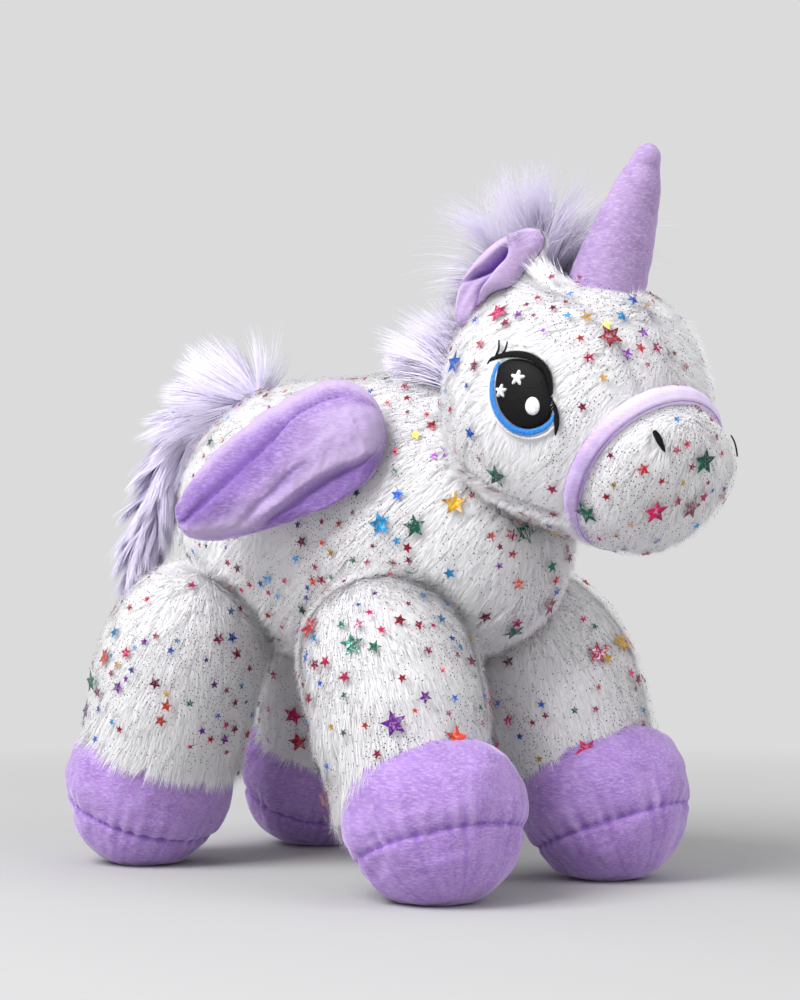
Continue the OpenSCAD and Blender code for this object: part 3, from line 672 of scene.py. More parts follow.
    # A narrow column of the baked picture for each shade of strand
    shade_step = fmath(node, "FLOOR", fmath(node, "MULTIPLY", named(node, "shade"), 13.99))
    in_column = fmath(node, "ADD", fmath(node, "MULTIPLY", named(node, "across"), 0.7), 0.15)
    column = fmath(node, "DIVIDE", fmath(node, "ADD", shade_step, in_column), 16.0)
    row = fmath(node, "ADD", fmath(node, "MULTIPLY", named(node, "tip"), 0.94), 0.03)
    place = node("ShaderNodeCombineXYZ", {0: column, 1: row})
    mapped = node("GeometryNodeStoreNamedAttribute", {"Geometry": real.outputs[0], "Name": "OFBake",
                  "Value": place.outputs[0]}, data_type="FLOAT2", domain="CORNER")
    both = node("GeometryNodeJoinGeometry")
    tree.links.new(mapped.outputs[0], both.inputs[0])
    tree.links.new(g["Geometry"], both.inputs[0])
    smooth = node("GeometryNodeSetShadeSmooth", {"Geometry": both.outputs[0]})
    dressed = node("GeometryNodeSetMaterial", {"Geometry": smooth.outputs[0], "Material": g["Material"]})
    tree.links.new(dressed.outputs[0], end.inputs[0])
    return tree


fur_tree = pile_tree("fur_pile", 1)
lock_tree = pile_tree("long_pile", 5)
print("pile trees ready")

# %% [markdown]
# ## Fur panels
# Each panel of fur fabric starts as a fine skin with a thickness, cut along the pattern's seams.
# Its nap is combed: on the body and the head it runs back and down, and on the legs straight down.

# %% Skin of a panel
CLOTH_TOP, CLOTH_BACK = 0.2, 2.2


def skin_from_rows(name, outer, inner, closed=False, flip=False):
    """A closed cloth from matching rows of outer and inner points."""
    rows, cols = outer.shape[:2]
    verts = np.concatenate([outer.reshape(-1, 3), inner.reshape(-1, 3)])
    n = rows * cols
    faces = grid_faces(rows, cols, closed, 0, flip) + grid_faces(rows, cols, closed, n, not flip)
    edge = [(0, j, 0, j + 1) for j in range(cols if closed else cols - 1)]
    edge += [(rows - 1, j + 1, rows - 1, j) for j in range(cols if closed else cols - 1)]
    if not closed:
        edge += [(i + 1, 0, i, 0) for i in range(rows - 1)]
        edge += [(i, cols - 1, i + 1, cols - 1) for i in range(rows - 1)]
    for i0, j0, i1, j1 in edge:
        a, b = i0 * cols + j0 % cols, i1 * cols + j1 % cols
        faces.append((b, a, a + n, b + n) if not flip else (a, b, b + n, a + n))
    return outward(new_piece(name, verts, faces))


def panel_cloth(name, rows_at, **how):
    """The cloth of a fur panel; rows_at gives its points at a depth below the pattern's surface."""
    return skin_from_rows(name + "_skin", rows_at(CLOTH_TOP), rows_at(CLOTH_BACK), **how)


def dressed_skin(ob, nap, pile, cover, face_out, loose=False, lie=None):
    """Gives a skin what the pile tree reads, from functions of points in the drafting frame.

    Where lie is below 1 the pile stands up more; a loose pile keeps the nap's own length and lean.
    """
    p = drafted(coords(ob))
    out = numbers(ob.data.vertices, "normal")
    out = np.where((out * face_out(p)).sum(1, keepdims=True) < 0, -out, out)
    way = nap(p, out)
    if not loose:
        way = unit(way - out * (way * out).sum(1, keepdims=True)) * (1 if lie is None else lie(p)[:, None])
    put(ob, "nap", way, "FLOAT_VECTOR")
    put(ob, "out", out, "FLOAT_VECTOR")
    put(ob, "pile", pile(p) * 0.001)
    # Only faces that look outwards grow fur
    centre = drafted(numbers(ob.data.polygons, "center"))
    looks = (numbers(ob.data.polygons, "normal") * face_out(centre)).sum(1)
    put(ob, "cover", np.where(looks > 0.35, cover(centre), 0.0), "FLOAT", "FACE")
    # The cloth under the strands takes the root colour, the pile's painted shade
    for name, value in (("tip", 0.05), ("shade", 0.3), ("across", 0.5)):
        put(ob, name, np.full(len(p), value))
    loops = np.zeros(len(ob.data.loops), np.int32)
    ob.data.loops.foreach_get("vertex_index", loops)
    # The cloth has the bake map's last column, which the strands leave free
    uv = ob.data.uv_layers.new(name="OFBake")
    flat = np.stack([0.90 + 0.09 * ((p[loops, 1] / 400 + 0.5) % 1),
                     0.02 + 0.06 * ((p[loops, 2] / 400) % 1)], -1)
    uv.data.foreach_set("uv", flat.astype(np.float32).ravel())


carriers = []


def clear_of_details(ob):
    """Keeps the print off the eyes, the nostrils and the noseband."""
    p = drafted(numbers(ob.data.polygons, "center"))
    cover = ob.data.attributes["cover"].data
    clear = (eye_share(p) > 1.60) & (band_distance(p) > 6.5) & (from_nostril(p) > 9)
    cover.foreach_set("value", (numbers(cover, "value", 1)[:, 0] * clear).astype(np.float32))


def furred(skin, name, per_mm2, body, nodes, seed, width=0.44, rise=0.30, tuft=6.0, pull=0.20, wander=0.28,
           jitter=0.10, curl=0.18, tree=None, material=None, printed=False, soft=0.93):
    """Grows the pile on a skin and hands the finished panel to the frame; its lengths are millimetres."""
    if printed:
        carriers.append(skin.copy())
        carriers[-1].data = skin.data.copy()
        clear_of_details(carriers[-1])
        bpy.context.scene.collection.objects.link(carriers[-1])
    made = grown(skin, tree or fur_tree, {
        "Strands per mm2": per_mm2, "Strand Width": width * 0.001, "Rise": rise, "Curl": curl,
        "Tuft Size": tuft * 0.001, "Tuft Pull": pull, "Wander": wander, "Jitter": jitter, "Seed": seed,
        "Material": material or white_pile}, name)
    softened(made, soft)
    bpy.data.objects.remove(skin)
    finished(made, body, nodes)
    print(name, "faces:", len(made.data.polygons))


# %% [markdown]
# ### What thins the pile
# Fur is combed away from the eye, the noseband and the foot of the horn, and stops where another form covers
# it. Where two stuffed forms meet, it stands up and bridges the seam.

# %% Cover and length of the pile
EYE_U, EYE_V, EYE_TURN, EYE_WIDTH, EYE_HEIGHT = 0.515, 172.0, -28.0, 29.0, 36.0
NOSEBAND_U, NOSTRIL = 0.70, (0.800, 134.5)
eye_middle = head_point(EYE_U, EYE_V)
horn_foot_at = head_point(0.405, 90)
noseband_line = head_point(NOSEBAND_U, np.arange(0, 360, 2.0))
nostril_middle = head_point(*NOSTRIL)
forelock_at = head_point(0.375, 116)


def eye_at(a, b, lift=0.0):
    """A point of the right eye from its own forward and upward millimetres."""
    c, s = math.cos(math.radians(EYE_TURN)), math.sin(math.radians(EYE_TURN))
    a, b = np.asarray(a, float), np.asarray(b, float)
    return on_head(EYE_U, EYE_V, a * c + b * s, b * c - a * s, lift)


eye_angle = np.radians(np.arange(0, 360, 5.0))
eye_ring = eye_at(EYE_WIDTH / 2 * np.cos(eye_angle), EYE_HEIGHT / 2 * np.sin(eye_angle))
MIRROR = np.array([-1.0, 1, 1])


def on_right(p):
    return np.where(p[:, :1] > 0, p * MIRROR, p)


def eye_share(p):
    """How far a point is from the eye's middle, as a share of the eye's size; below 1 is under the patch."""
    spoke = on_right(p) - eye_middle
    which = (unit(spoke) @ unit(eye_ring - eye_middle).T).argmax(1)
    return np.linalg.norm(spoke, axis=1) / np.linalg.norm(eye_ring - eye_middle, axis=1)[which]


def band_distance(p):
    return np.sqrt(((p[:, None, :] - noseband_line[None, :, :]) ** 2).sum(-1)).min(1)


def from_nostril(p):
    return np.linalg.norm(on_right(p) - nostril_middle, axis=1)


def under_chin(v):
    """1 below the jaw, where the pile closes over the noseband, and 0 at the sides; v in degrees."""
    return smooth_step((76 - np.abs((v - 270 + 180) % 360 - 180)) / 30)


def chin_share(p):
    q = p - HEAD_BACK
    return under_chin(np.degrees(np.arctan2(q @ HEAD_UP, q[:, 0])))


def by_join(depth):
    """1 where two stuffed forms meet. The pile stands up there and bridges the seam."""
    return np.exp(-((depth + 1.5) / 6.0) ** 2)


def lies_down(standing):
    """How much of its nap a pile keeps where a share of it stands up."""
    return 1 - 0.75 * standing


def forelock_share(p):
    return np.exp(-(np.linalg.norm(on_right(p) - forelock_at, axis=1) / 9.0) ** 2)


def head_cover(p):
    gone = (depth_in_torso(p) > 3) | (eye_share(p) < 0.98) | (band_distance(p) < 3.6 - 2.6 * chin_share(p))
    gone |= np.linalg.norm(p - horn_foot_at, axis=1) < 13.5
    gone |= from_nostril(p) < 3.4
    return np.where(gone, 0.0, 1.0)


def head_pile(p):
    by_eye = np.clip((eye_share(p) - 1.0) / 0.55, 0, 1)
    by_band = np.clip((band_distance(p) - 4 + 3 * chin_share(p)) / 9, 0, 1)
    u = np.clip((p - HEAD_BACK) @ HEAD_AXIS / HEAD_LENGTH, 0, 1)
    by_horn = np.clip((np.linalg.norm(p - horn_foot_at, axis=1) - 14) / 12, 0, 1)
    full = 8.6 - 1.6 * np.clip((u - 0.25) / 0.4, 0, 1) + 1.0 * soft_noise(p, 40, 5) + 13.0 * forelock_share(p)
    full += 2.6 * by_join(depth_in_torso(p))
    return full * (0.45 + 0.55 * by_eye) * (0.6 + 0.4 * by_band) * (0.65 + 0.35 * by_horn)


def head_nap(p, out):
    """Brushed from the muzzle and the horn backwards and down the cheeks."""
    side = np.sign(p[:, :1]) * np.array([[1.0, 0, 0]])
    flow = -HEAD_AXIS * 0.55 - np.array([0, 0, 1.0]) * 0.9 + side * 0.35
    # Away from the eye's middle, so that the lashes stay clear
    away = on_right(p) - eye_middle
    away = np.where(p[:, :1] > 0, away * MIRROR, away)
    near = np.clip(1.6 - eye_share(p), 0, 1)[:, None]
    lock = forelock_share(p)[:, None]
    flow = flow * (1 - lock) + np.array([0, 0.5, 1.6]) * lock
    return flow * (1 - near) + unit(away) * near * 1.2


def outward_of_head(p):
    inner = np.clip((p - HEAD_BACK) @ HEAD_AXIS, 35, 100)
    return unit(p - (HEAD_BACK + HEAD_AXIS * inner[:, None]))


# %% [markdown]
# ### Head
# The head has two cheek panels, a forehead gusset, a jaw gusset and a muzzle, whose seam the noseband hides.

# %% Head panels
HEAD_PANELS = [("head_left_panel", -45, 60), ("forehead_gusset", 60, 120), ("head_right_panel", 120, 225),
               ("jaw_gusset", 225, 315)]


def head_standing(p):
    return np.maximum(forelock_share(p), by_join(depth_in_torso(p)))


for k, (node_name, v0, v1) in enumerate(HEAD_PANELS):
    u = np.linspace(0.0, NOSEBAND_U, 40)[:, None]
    v = np.linspace(v0, v1, int((v1 - v0) / 5) + 1)[None, :]
    skin = panel_cloth(node_name, lambda inset: head_point(u, v, inset), flip=True)
    dressed_skin(skin, head_nap, head_pile, head_cover, outward_of_head,
                 lie=lambda p: lies_down(head_standing(p)))
    solids = [node_name] + ["head_stuffing"] * (node_name == "forehead_gusset")
    furred(skin, node_name + "_fur", 6.2, "body", solids, 21 + k, tuft=5.0, wander=0.30, printed=True)

# %% Muzzle
v = np.arange(0, 360, 5.0)[None, :]
u = np.concatenate([np.linspace(NOSEBAND_U, 0.97, 26), [0.982, 0.991, 0.997, 1.0]])[:, None]
skin = panel_cloth("muzzle", lambda inset: head_point(u, v, inset), closed=True, flip=True)
dressed_skin(skin, lambda p, out: np.array([0, 0.25, -1.0]) + unit(p - head_point(0.86, 90)) * 0.5, head_pile,
             head_cover, outward_of_head)
furred(skin, "muzzle_fur", 6.4, "body", ["muzzle_panel"], 29, tuft=5.5, wander=0.34, printed=True)

# %% [markdown]
# ### Torso
# Two side panels meet along the back, with a gusset under the belly.

# %% Torso panels
def torso_cover(p):
    gone = depth_in_head(p) > 3
    for front, side, _ in LEGS:
        gone |= depth_in_leg(p, front, side) > 4
    return np.where(gone, 0.0, 1.0)


def by_torso_join(p):
    legs = [depth_in_leg(p, front, side) for front, side, _ in LEGS]
    return by_join(np.max([depth_in_head(p)] + legs, axis=0))


def torso_pile(p):
    return 8.4 + 0.8 * soft_noise(p, 50, 9) + 2.6 * by_torso_join(p)


def torso_nap(p, out):
    return np.array([0, 0.75, -1.0]) + np.sign(p[:, :1]) * np.array([[0.35, 0, 0]])


def outward_of_torso(p):
    middle = np.stack([0 * p[:, 0], np.clip(p[:, 1], -75, 75), 0 * p[:, 0] + BELLY + BODY_HEIGHT * 0.5], -1)
    return unit(p - middle)


TORSO_PANELS = [("body_left_panel", -60, 90, 4.4), ("body_right_panel", 90, 240, 4.4),
                ("belly_gusset", 240, 300, 2.6)]
for k, (node_name, v0, v1, per_mm2) in enumerate(TORSO_PANELS):
    u = np.linspace(0, 1, 62)[:, None]
    v = np.linspace(v0, v1, int((v1 - v0) / 4) + 1)[None, :]
    skin = panel_cloth(node_name, lambda inset: torso_point(u, v, inset))
    dressed_skin(skin, torso_nap, torso_pile, torso_cover, outward_of_torso,
                 lie=lambda p: lies_down(by_torso_join(p)))
    solids = [node_name] + ["body_stuffing"] * (node_name == "body_left_panel")
    furred(skin, node_name + "_fur", per_mm2, "body", solids, 41 + k, width=0.52, tuft=6.5, printed=True)

# %% [markdown]
# ### Legs
# A leg is one tube of fur fabric. Its pile falls straight down and hangs over the top of the hoof in tufts.

# %% Leg skins
def leg_rows(front, side, inset):
    """Rings of a leg from its hem to its top, at a depth below the pattern's surface."""
    heights = np.concatenate([np.linspace(2 if front > 0 else 14, 100, 38), [102.5, 105, 107, 108.5, 110]])
    foot, turn = leg_frame(front, side)
    r = np.maximum((LEG_RADIUS - inset) * along(LEG_SIDE, 1, heights), 0)
    a = np.radians(np.arange(0, 360, 6.0))[None, :]
    # Drawn in above the hoof, which stands out in front of a fore leg and behind a hind leg
    low = np.clip(1 - (heights - 12) / 52.0, 0, 1) ** 1.3
    r = (r * (1 - 0.10 * low))[:, None]
    level = (heights - inset * (heights > 90))[:, None]
    q = np.stack([r * np.cos(a), r * np.sin(a), np.broadcast_to(level, (len(level), a.shape[1]))], -1)
    q = q @ turn.T + foot
    q[..., 1] += ((8.0 if front > 0 else -4.0) * low)[:, None]
    return q


def above_cuff(p, front, side):
    """How far a point of a leg is above its hoof, which comes up low behind a fore leg and high before a hind one."""
    foot, turn = leg_frame(front, side, True)
    q = (p - foot) @ turn
    if front > 0:
        return q[:, 2] - (HOOF_CUFF - 2.0 - 14.0 * smooth_step((q[:, 1] + 6) / 34))
    return q[:, 2] - (HOOF_CUFF - 1.5 + 4.0 * smooth_step((6 - q[:, 1]) / 34))


# %% Leg fur
def leg_fur(k, front, side, name):
    """Dresses one leg; k counts the legs, so that no two have the same fur."""
    foot, turn = leg_frame(front, side)
    axis = turn @ np.array([0, 0, 1.0])

    def out_of_leg(p):
        h = np.clip((p - foot) @ axis, 0, 78)
        return unit(p - foot - axis * h[:, None])

    def cover(p):
        return np.where((above_cuff(p, front, side) < 0) | (depth_in_torso(p) > 3), 0.0, 1.0)

    def pile(p):
        edge = above_cuff(p, front, side)
        return (8.6 + 3.6 * np.clip(1 - edge / 14, 0, 1) + 3.2 * by_join(depth_in_torso(p))
                + 1.2 * soft_noise(p, 42, 60 + k)
                + 1.2 * np.clip(1 - edge / 8, 0, 1) * soft_noise(p, 9, 70 + k))

    def lie(p):
        hem = np.clip(1 - above_cuff(p, front, side) / 12, 0, 1)
        return lies_down(by_join(depth_in_torso(p))) * (1 - 0.45 * hem)

    skin = panel_cloth(name + "_leg", lambda inset: leg_rows(front, side, inset), closed=True)
    dressed_skin(skin, lambda p, out: -axis + 0 * p, pile, cover, out_of_leg, lie=lie)
    furred(skin, name + "_leg_fur", 5.0, "body", [name + "_leg_skin", name + "_leg_stuffing"], 61 + k,
           width=0.48, tuft=6.0, wander=0.30, printed=True)


for k, (front, side, name) in enumerate(LEGS):
    leg_fur(k, front, side, name)

# %% [markdown]
# ## Padded velboa
# Hooves, wings and horn are velboa shells pushed out by their filling. Cloth simulation is the natural tool:
# the sewn lines are pinned, air pressure stands for the filling, and no point may move further than a cap.
# Grooves, gathers and stitches are finer than the cloth's mesh, so they are pressed in afterwards.

# %% Filling a shell
def stuffed(ob, pins, pressure=4.0, cap=5.0, frames=20, spare=0.03):
    """Cloth under pressure from inside; pins is how firmly each point is held, from 0 to 1."""
    start = coords(ob)
    group = ob.vertex_groups.new(name="sewn")
    for i, w in enumerate(pins):
        if w > 0:
            group.add([i], float(w), "REPLACE")
    mod = ob.modifiers.new("filling", "CLOTH")
    s = mod.settings
    s.quality = 5
    s.mass = 0.2
    s.tension_stiffness = s.compression_stiffness = 12
    s.shear_stiffness = 6
    s.bending_stiffness = 0.4
    s.vertex_group_mass = "sewn"
    s.use_pressure = True
    s.uniform_pressure_force = pressure
    s.shrink_min = -spare
    s.effector_weights.gravity = 0
    mod.collision_settings.use_collision = False
    mod.point_cache.frame_start, mod.point_cache.frame_end = 1, frames
    scene = bpy.context.scene
    for f in range(1, frames + 1):
        scene.frame_set(f)
    moved = bpy.data.meshes.new_from_object(ob.evaluated_get(bpy.context.evaluated_depsgraph_get()))
    n = np.zeros(len(moved.vertices) * 3, np.float32)
    moved.vertices.foreach_get("co", n)
    step = n.reshape(-1, 3).astype(float) - start
    bpy.data.meshes.remove(moved)
    ob.modifiers.remove(mod)
    ob.vertex_groups.clear()
    scene.frame_set(1)
    far = np.linalg.norm(step, axis=1, keepdims=True)
    capped = step * np.minimum(1, cap * 0.001 / np.maximum(far, 1e-9))
    set_coords(ob, start + capped)
    print(ob.name, "filled, moved by up to", round(float(np.linalg.norm(capped, axis=1).max()) * 1000, 2), "mm")
    return ob


def rounder(ob, levels=1):
    """One subdivision, applied."""
    mod = ob.modifiers.new("rounder", "SUBSURF")
    mod.levels = mod.render_levels = levels
    mesh = bpy.data.meshes.new_from_object(ob.evaluated_get(bpy.context.evaluated_depsgraph_get()))
    ob.modifiers.remove(mod)
    old = ob.data
    ob.data = mesh
    mesh.name = ob.name
    bpy.data.meshes.remove(old)
    mesh.polygons.foreach_set("use_smooth", [True] * len(mesh.polygons))
    return ob


def copy_mirrored(ob, name):
    """The same piece for the toy's other side."""
    mesh = ob.data.copy()
    mesh.name = name
    made = bpy.data.objects.new(name, mesh)
    bpy.context.scene.collection.objects.link(made)
    co = coords(made)
    co[:, 0] *= -1
    set_coords(made, co)
    mesh.flip_normals()
    for a in mesh.attributes:
        if a.data_type == "FLOAT_VECTOR" and a.name in ("along", "out", "nap"):
            v = np.zeros(len(a.data) * 3, np.float32)
            a.data.foreach_get("vector", v)
            v = v.reshape(-1, 3)
            v[:, 0] *= -1
            a.data.foreach_set("vector", v.ravel())
    return made


# %% [markdown]
# ### Stitches with Geometry Nodes
# A stitch is one short arched thread. A row of points says where each one lies, which way it runs and how long
# it is, and the tree lays the same thread on all of them. Satin stitch is the same with the threads side by side.

# %% The stitch tree
def stitch_tree():
    tree, start, end, node = new_tree("stitches", [
        ("Thread Width", "NodeSocketFloat", 0.0005), ("Arch", "NodeSocketFloat", 0.0004),
        ("Material", "NodeSocketMaterial", None)])
    g = {s.name: s for s in start.outputs}
    points = node("GeometryNodeMeshToPoints", {"Mesh": g["Geometry"]})
    turn = node("FunctionNodeAxesToRotation", {"Primary Axis": named(node, "along", "FLOAT_VECTOR"),
                "Secondary Axis": named(node, "out", "FLOAT_VECTOR")}, primary_axis="Y", secondary_axis="Z")
    tube = node("GeometryNodeMeshCylinder", {"Vertices": 6, "Side Segments": 4, "Radius": 0.5, "Depth": 1.0},
                fill_type="TRIANGLE_FAN")
    here = node("GeometryNodeInputPosition").outputs[0]
    xyz = node("ShaderNodeSeparateXYZ", {0: here})
    end_on = fmath(node, "MULTIPLY", fmath(node, "ABSOLUTE", xyz.outputs[2]), 2.0)
    slim = fmath(node, "SUBTRACT", 1.0, fmath(node, "MULTIPLY", fmath(node, "POWER", end_on, 4.0), 0.6))
    hump = fmath(node, "SUBTRACT", 1.0, fmath(node, "POWER", end_on, 2.0))
    size = fmath(node, "MULTIPLY", g["Thread Width"], slim)
    laid = node("ShaderNodeCombineXYZ", {0: fmath(node, "MULTIPLY", xyz.outputs[0], size), 1: xyz.outputs[2],
                2: fmath(node, "ADD", fmath(node, "MULTIPLY", xyz.outputs[1], size),
                         fmath(node, "MULTIPLY", hump, g["Arch"]))})
    thread = node("GeometryNodeSetPosition", {"Geometry": tube.outputs[0], "Position": laid.outputs[0]})
    size3 = node("ShaderNodeCombineXYZ", {0: 1.0, 1: named(node, "reach"), 2: 1.0})
    copies = node("GeometryNodeInstanceOnPoints", {"Points": points.outputs[0], "Instance": thread.outputs[0],
                  "Rotation": turn.outputs[0], "Scale": size3.outputs[0]})
    real = node("GeometryNodeRealizeInstances", {"Geometry": copies.outputs[0]})
    smooth = node("GeometryNodeSetShadeSmooth", {"Geometry": real.outputs[0]})
    dressed = node("GeometryNodeSetMaterial", {"Geometry": smooth.outputs[0], "Material": g["Material"]})
    tree.links.new(dressed.outputs[0], end.inputs[0])
    return tree


stitches = stitch_tree()


def sewn(name, at, along_way, out, reach, width, arch, material):
    """Threads at points (mm), each reach mm long."""
    ob = new_piece(name + "_rows", at, [])
    put(ob, "along", unit(np.asarray(along_way, float)), "FLOAT_VECTOR")
    put(ob, "out", unit(np.asarray(out, float)), "FLOAT_VECTOR")
    put(ob, "reach", np.broadcast_to(np.asarray(reach, float), (len(at),)) * 0.001)
    made = grown(ob, stitches, {"Thread Width": width * 0.001, "Arch": arch * 0.001, "Material": material}, name)
    bpy.data.objects.remove(ob)
    return made


def joined(name, parts):
    """One piece of several meshes; their materials are kept."""
    bpy.ops.object.select_all(action="DESELECT")
    for p in parts:
        p.select_set(True)
    bpy.context.view_layer.objects.active = parts[0]
    bpy.ops.object.join()
    parts[0].name = name
    parts[0].data.name = name
    return parts[0]


# %% [markdown]
# ### Hooves
# Each hoof is a velboa tube, gathered onto a round sole. The gathers make small pleats above the seam, the
# filling rounds both out, and the weight of the toy flattens the sole where it stands.

# %% Hooves
HOOF_OUT = [[-40.0, 0.0], [-39.4, 7.0], [-37.6, 13.7], [-34.6, 20.1], [-30.6, 25.7], [-25.5, 30.8], [-20.0, 34.6],
            [-16.5, 36.6], [-13.7, 37.6], [-10.5, 38.9], [-6.0, 40.3], [0.0, 40.9], [6.0, 40.6], [11.0, 39.8],
            [15.5, 38.4], [19.0, 36.6], [21.8, 34.2], [24.0, 31.0], [25.4, 27.0], [26.2, 22.0]]
SEAM, HOOF_SLIM = -13.7, 0.955


def hoof_surface(front, side, rows=46, turns=96):
    profile = np.array(HOOF_OUT)
    walk = np.concatenate([[0], np.cumsum(np.linalg.norm(np.diff(profile, axis=0), axis=1))])
    s = np.linspace(0, walk[-1], rows)
    z, r = np.interp(s, walk, profile[:, 0]), HOOF_SLIM * np.interp(s, walk, profile[:, 1])
    a = np.radians(np.arange(turns) * 360 / turns)[None, :]
    q = np.stack([r[1:, None] * np.cos(a), r[1:, None] * np.sin(a), np.broadcast_to(z[1:, None], (rows - 1, turns))], -1)
    if front < 0:
        # A hind hoof comes up higher in front
        q[..., 2] += 9.0 * np.clip(q[..., 2] / 26.0, 0, 1) * smooth_step((6 - q[..., 1]) / 40)
    return q, z[1:], a[0]


for k, (front, side, name) in enumerate(LEGS):
    foot, turn = leg_frame(front, side, True)
    q, z, a = hoof_surface(front, side)
    rows, turns = q.shape[:2]
    poles = np.array([[0, 0, -40.0], [0, 0, 26.2 if front > 0 else 28.5]])
    verts = np.concatenate([poles[:1], q.reshape(-1, 3), poles[1:]])
    faces = [(0, 1 + (j + 1) % turns, 1 + j) for j in range(turns)] + grid_faces(rows, turns, True, 1)
    last = 1 + (rows - 1) * turns
    faces += [(last + j, last + (j + 1) % turns, last + turns) for j in range(turns)]
    lumps = 0.9 * soft_noise(verts, 30, 80 + k) * np.clip((verts[:, 2] + 40) / 15, 0, 1)
    verts = verts + unit(verts) * lumps[:, None]
    world_mm = verts @ turn.T + foot
    world_mm[:, 2] = np.maximum(world_mm[:, 2], 0.1)
    shell = outward(new_piece(name + "_hoof", world_mm, faces))
    zl = verts[:, 2]
    pins = np.clip(1.0 - np.abs(zl - SEAM) / 2.5, 0, 1) + np.clip((zl - 19.5) / 1.5, 0, 1)
    world_z = world_mm[:, 2]
    pins = np.clip(pins + (world_z < 0.6), 0, 1)
    stuffed(shell, pins, 3.0, 2.2, 20, 0.03)
    rounder(shell)
    p = (coords(shell) * 1000 - PLACE - foot) @ turn
    theta = np.arctan2(p[:, 1], p[:, 0])
    rr = np.random.default_rng(300 + k)
    pleat = sum(rr.uniform(0.5, 1.0) * np.cos(n * theta + rr.uniform(0, 6.28)) for n in (23, 29, 34, 41)) / 2.2
    above, below = np.maximum(p[:, 2] - SEAM, 0), np.maximum(SEAM - p[:, 2], 0)
    press = -1.2 * np.exp(-((p[:, 2] - SEAM) / 1.4) ** 2)
    press += 0.8 * pleat * np.where(p[:, 2] > SEAM, np.exp(-above / 7.0), np.exp(-below / 3.5))
    press += 0.35 * soft_noise(p, 16, 90 + k)
    out = unit(p * np.array([1, 1, 0.6]))
    world_mm = (p + out * press[:, None]) @ turn.T + foot
    world_mm[:, 2] = np.maximum(world_mm[:, 2], 0.05 + 0.04 * np.abs(soft_noise(p, 9, 95 + k)))
    set_coords(shell, (world_mm + PLACE) * 0.001)
    # Painted shade in the seam's groove and between the pleats, and a painted highlight on the pleats' tops
    in_seam = 0.8 * np.exp(-((p[:, 2] - SEAM) / 1.1) ** 2)
    put(shell, "painted_shade", np.clip(in_seam - 0.35 * pleat * np.exp(-above / 7.0), 0, 0.8))
    put(shell, "ridge", np.clip(0.45 * pleat * np.exp(-above / 9.0) * (p[:, 2] > SEAM), 0, 0.5))
    # The sewn line: short stitches that dip between the pleats
    tt = np.linspace(0, 2 * np.pi, 79)[:-1]
    line = np.stack([37.2 * HOOF_SLIM * np.cos(tt), 37.2 * HOOF_SLIM * np.sin(tt), np.full(len(tt), SEAM)], -1)
    line = line @ turn.T + foot
    line = line - unit(line - foot) * 0.9
    run = np.roll(line, -1, 0) - np.roll(line, 1, 0)
    ok = line[:, 2] > 1.0
    thread = sewn(name + "_seam", line[ok], run[ok], (line - foot)[ok], 1.9, 0.32, 0.25, seam_thread)
    shell.data.materials.append(velboa)
    hoof = joined(name + "_hoof", [shell, thread])
    finished(hoof, "body", [name + "_hoof_upper", name + "_hoof_sole"])

# %% [markdown]
# ### Horn
# One wedge of velboa, sewn up the back into a cone and turned. Filling can't get into its tip, so the tip pinches
# and the cloth wrinkles softly below it.

# %% Horn
HORN_LENGTH, HORN_RADIUS, HORN_TIP, HORN_LEAN = 62.0, 16.5, 6.0, math.radians(23)
horn_turn = np.array([[1, 0, 0], [0, math.cos(HORN_LEAN), -math.sin(HORN_LEAN)],
                      [0, math.sin(HORN_LEAN), math.cos(HORN_LEAN)]])
r, e, top = HORN_RADIUS, HORN_TIP, HORN_LENGTH
HORN_SIDE = np.array([[-10, r * 1.0], [0, r], [top * .25, r * .86 + e * .14], [top * .5, r * .60 + e * .40],
                      [top * .72, r * .34 + e * .66], [top - 1.7 * e, e * 1.15], [top - e, e * 0.98],
                      [top - .45 * e, e * .74], [top - .12 * e, e * .40], [top, 0.05]])
walk = np.concatenate([[0], np.cumsum(np.linalg.norm(np.diff(HORN_SIDE, axis=0), axis=1))])
s = np.linspace(0, walk[-1], 64)
hz, hr = np.interp(s, walk, HORN_SIDE[:, 0]), np.interp(s, walk, HORN_SIDE[:, 1])
for _ in range(3):
    hr[1:-1] = (hr[:-2] + 2 * hr[1:-1] + hr[2:]) / 4
a = np.radians(np.arange(0, 360, 5.0))
q = np.stack([hr[:, None] * np.cos(a), hr[:, None] * np.sin(a), np.broadcast_to(hz[:, None], (64, 72))], -1)
q = q.reshape(-1, 3)
ridge = soft_noise(q * np.array([0.6, 0.6, 1.6]), 26, 400) * 0.3
ridge = ridge + soft_noise(q * np.array([.5, .5, 2.0]), 13, 401) * 0.15
theta = np.arctan2(q[:, 1], q[:, 0])
pinch = -0.8 * np.exp(-((q[:, 2] - (top - 9)) / 1.8) ** 2) * np.maximum(0, np.cos(theta + 2.2))
seam_dip = -0.9 * np.exp(-((np.angle(np.exp(1j * (theta - math.radians(100))))) / 0.09) ** 2)
grow = np.clip(np.hypot(q[:, 0], q[:, 1]) / 6, 0, 1)
out = np.stack([np.cos(theta), np.sin(theta), 0 * theta], -1)
q = q + out * ((ridge + pinch + seam_dip) * grow)[:, None]
faces = grid_faces(64, 72, True) + [tuple(range(71, -1, -1)), tuple(63 * 72 + j for j in range(72))]
horn = outward(new_piece("horn", q @ horn_turn.T + horn_foot_at, faces))
horn.data.materials.append(pale_velboa)
h = np.arange(4, 54, 2.6)
back_angle = math.radians(100)
line = np.stack([np.interp(h, hz, hr) * math.cos(back_angle), np.interp(h, hz, hr) * math.sin(back_angle), h], -1)
line = line - np.array([math.cos(back_angle), math.sin(back_angle), 0]) * 0.5
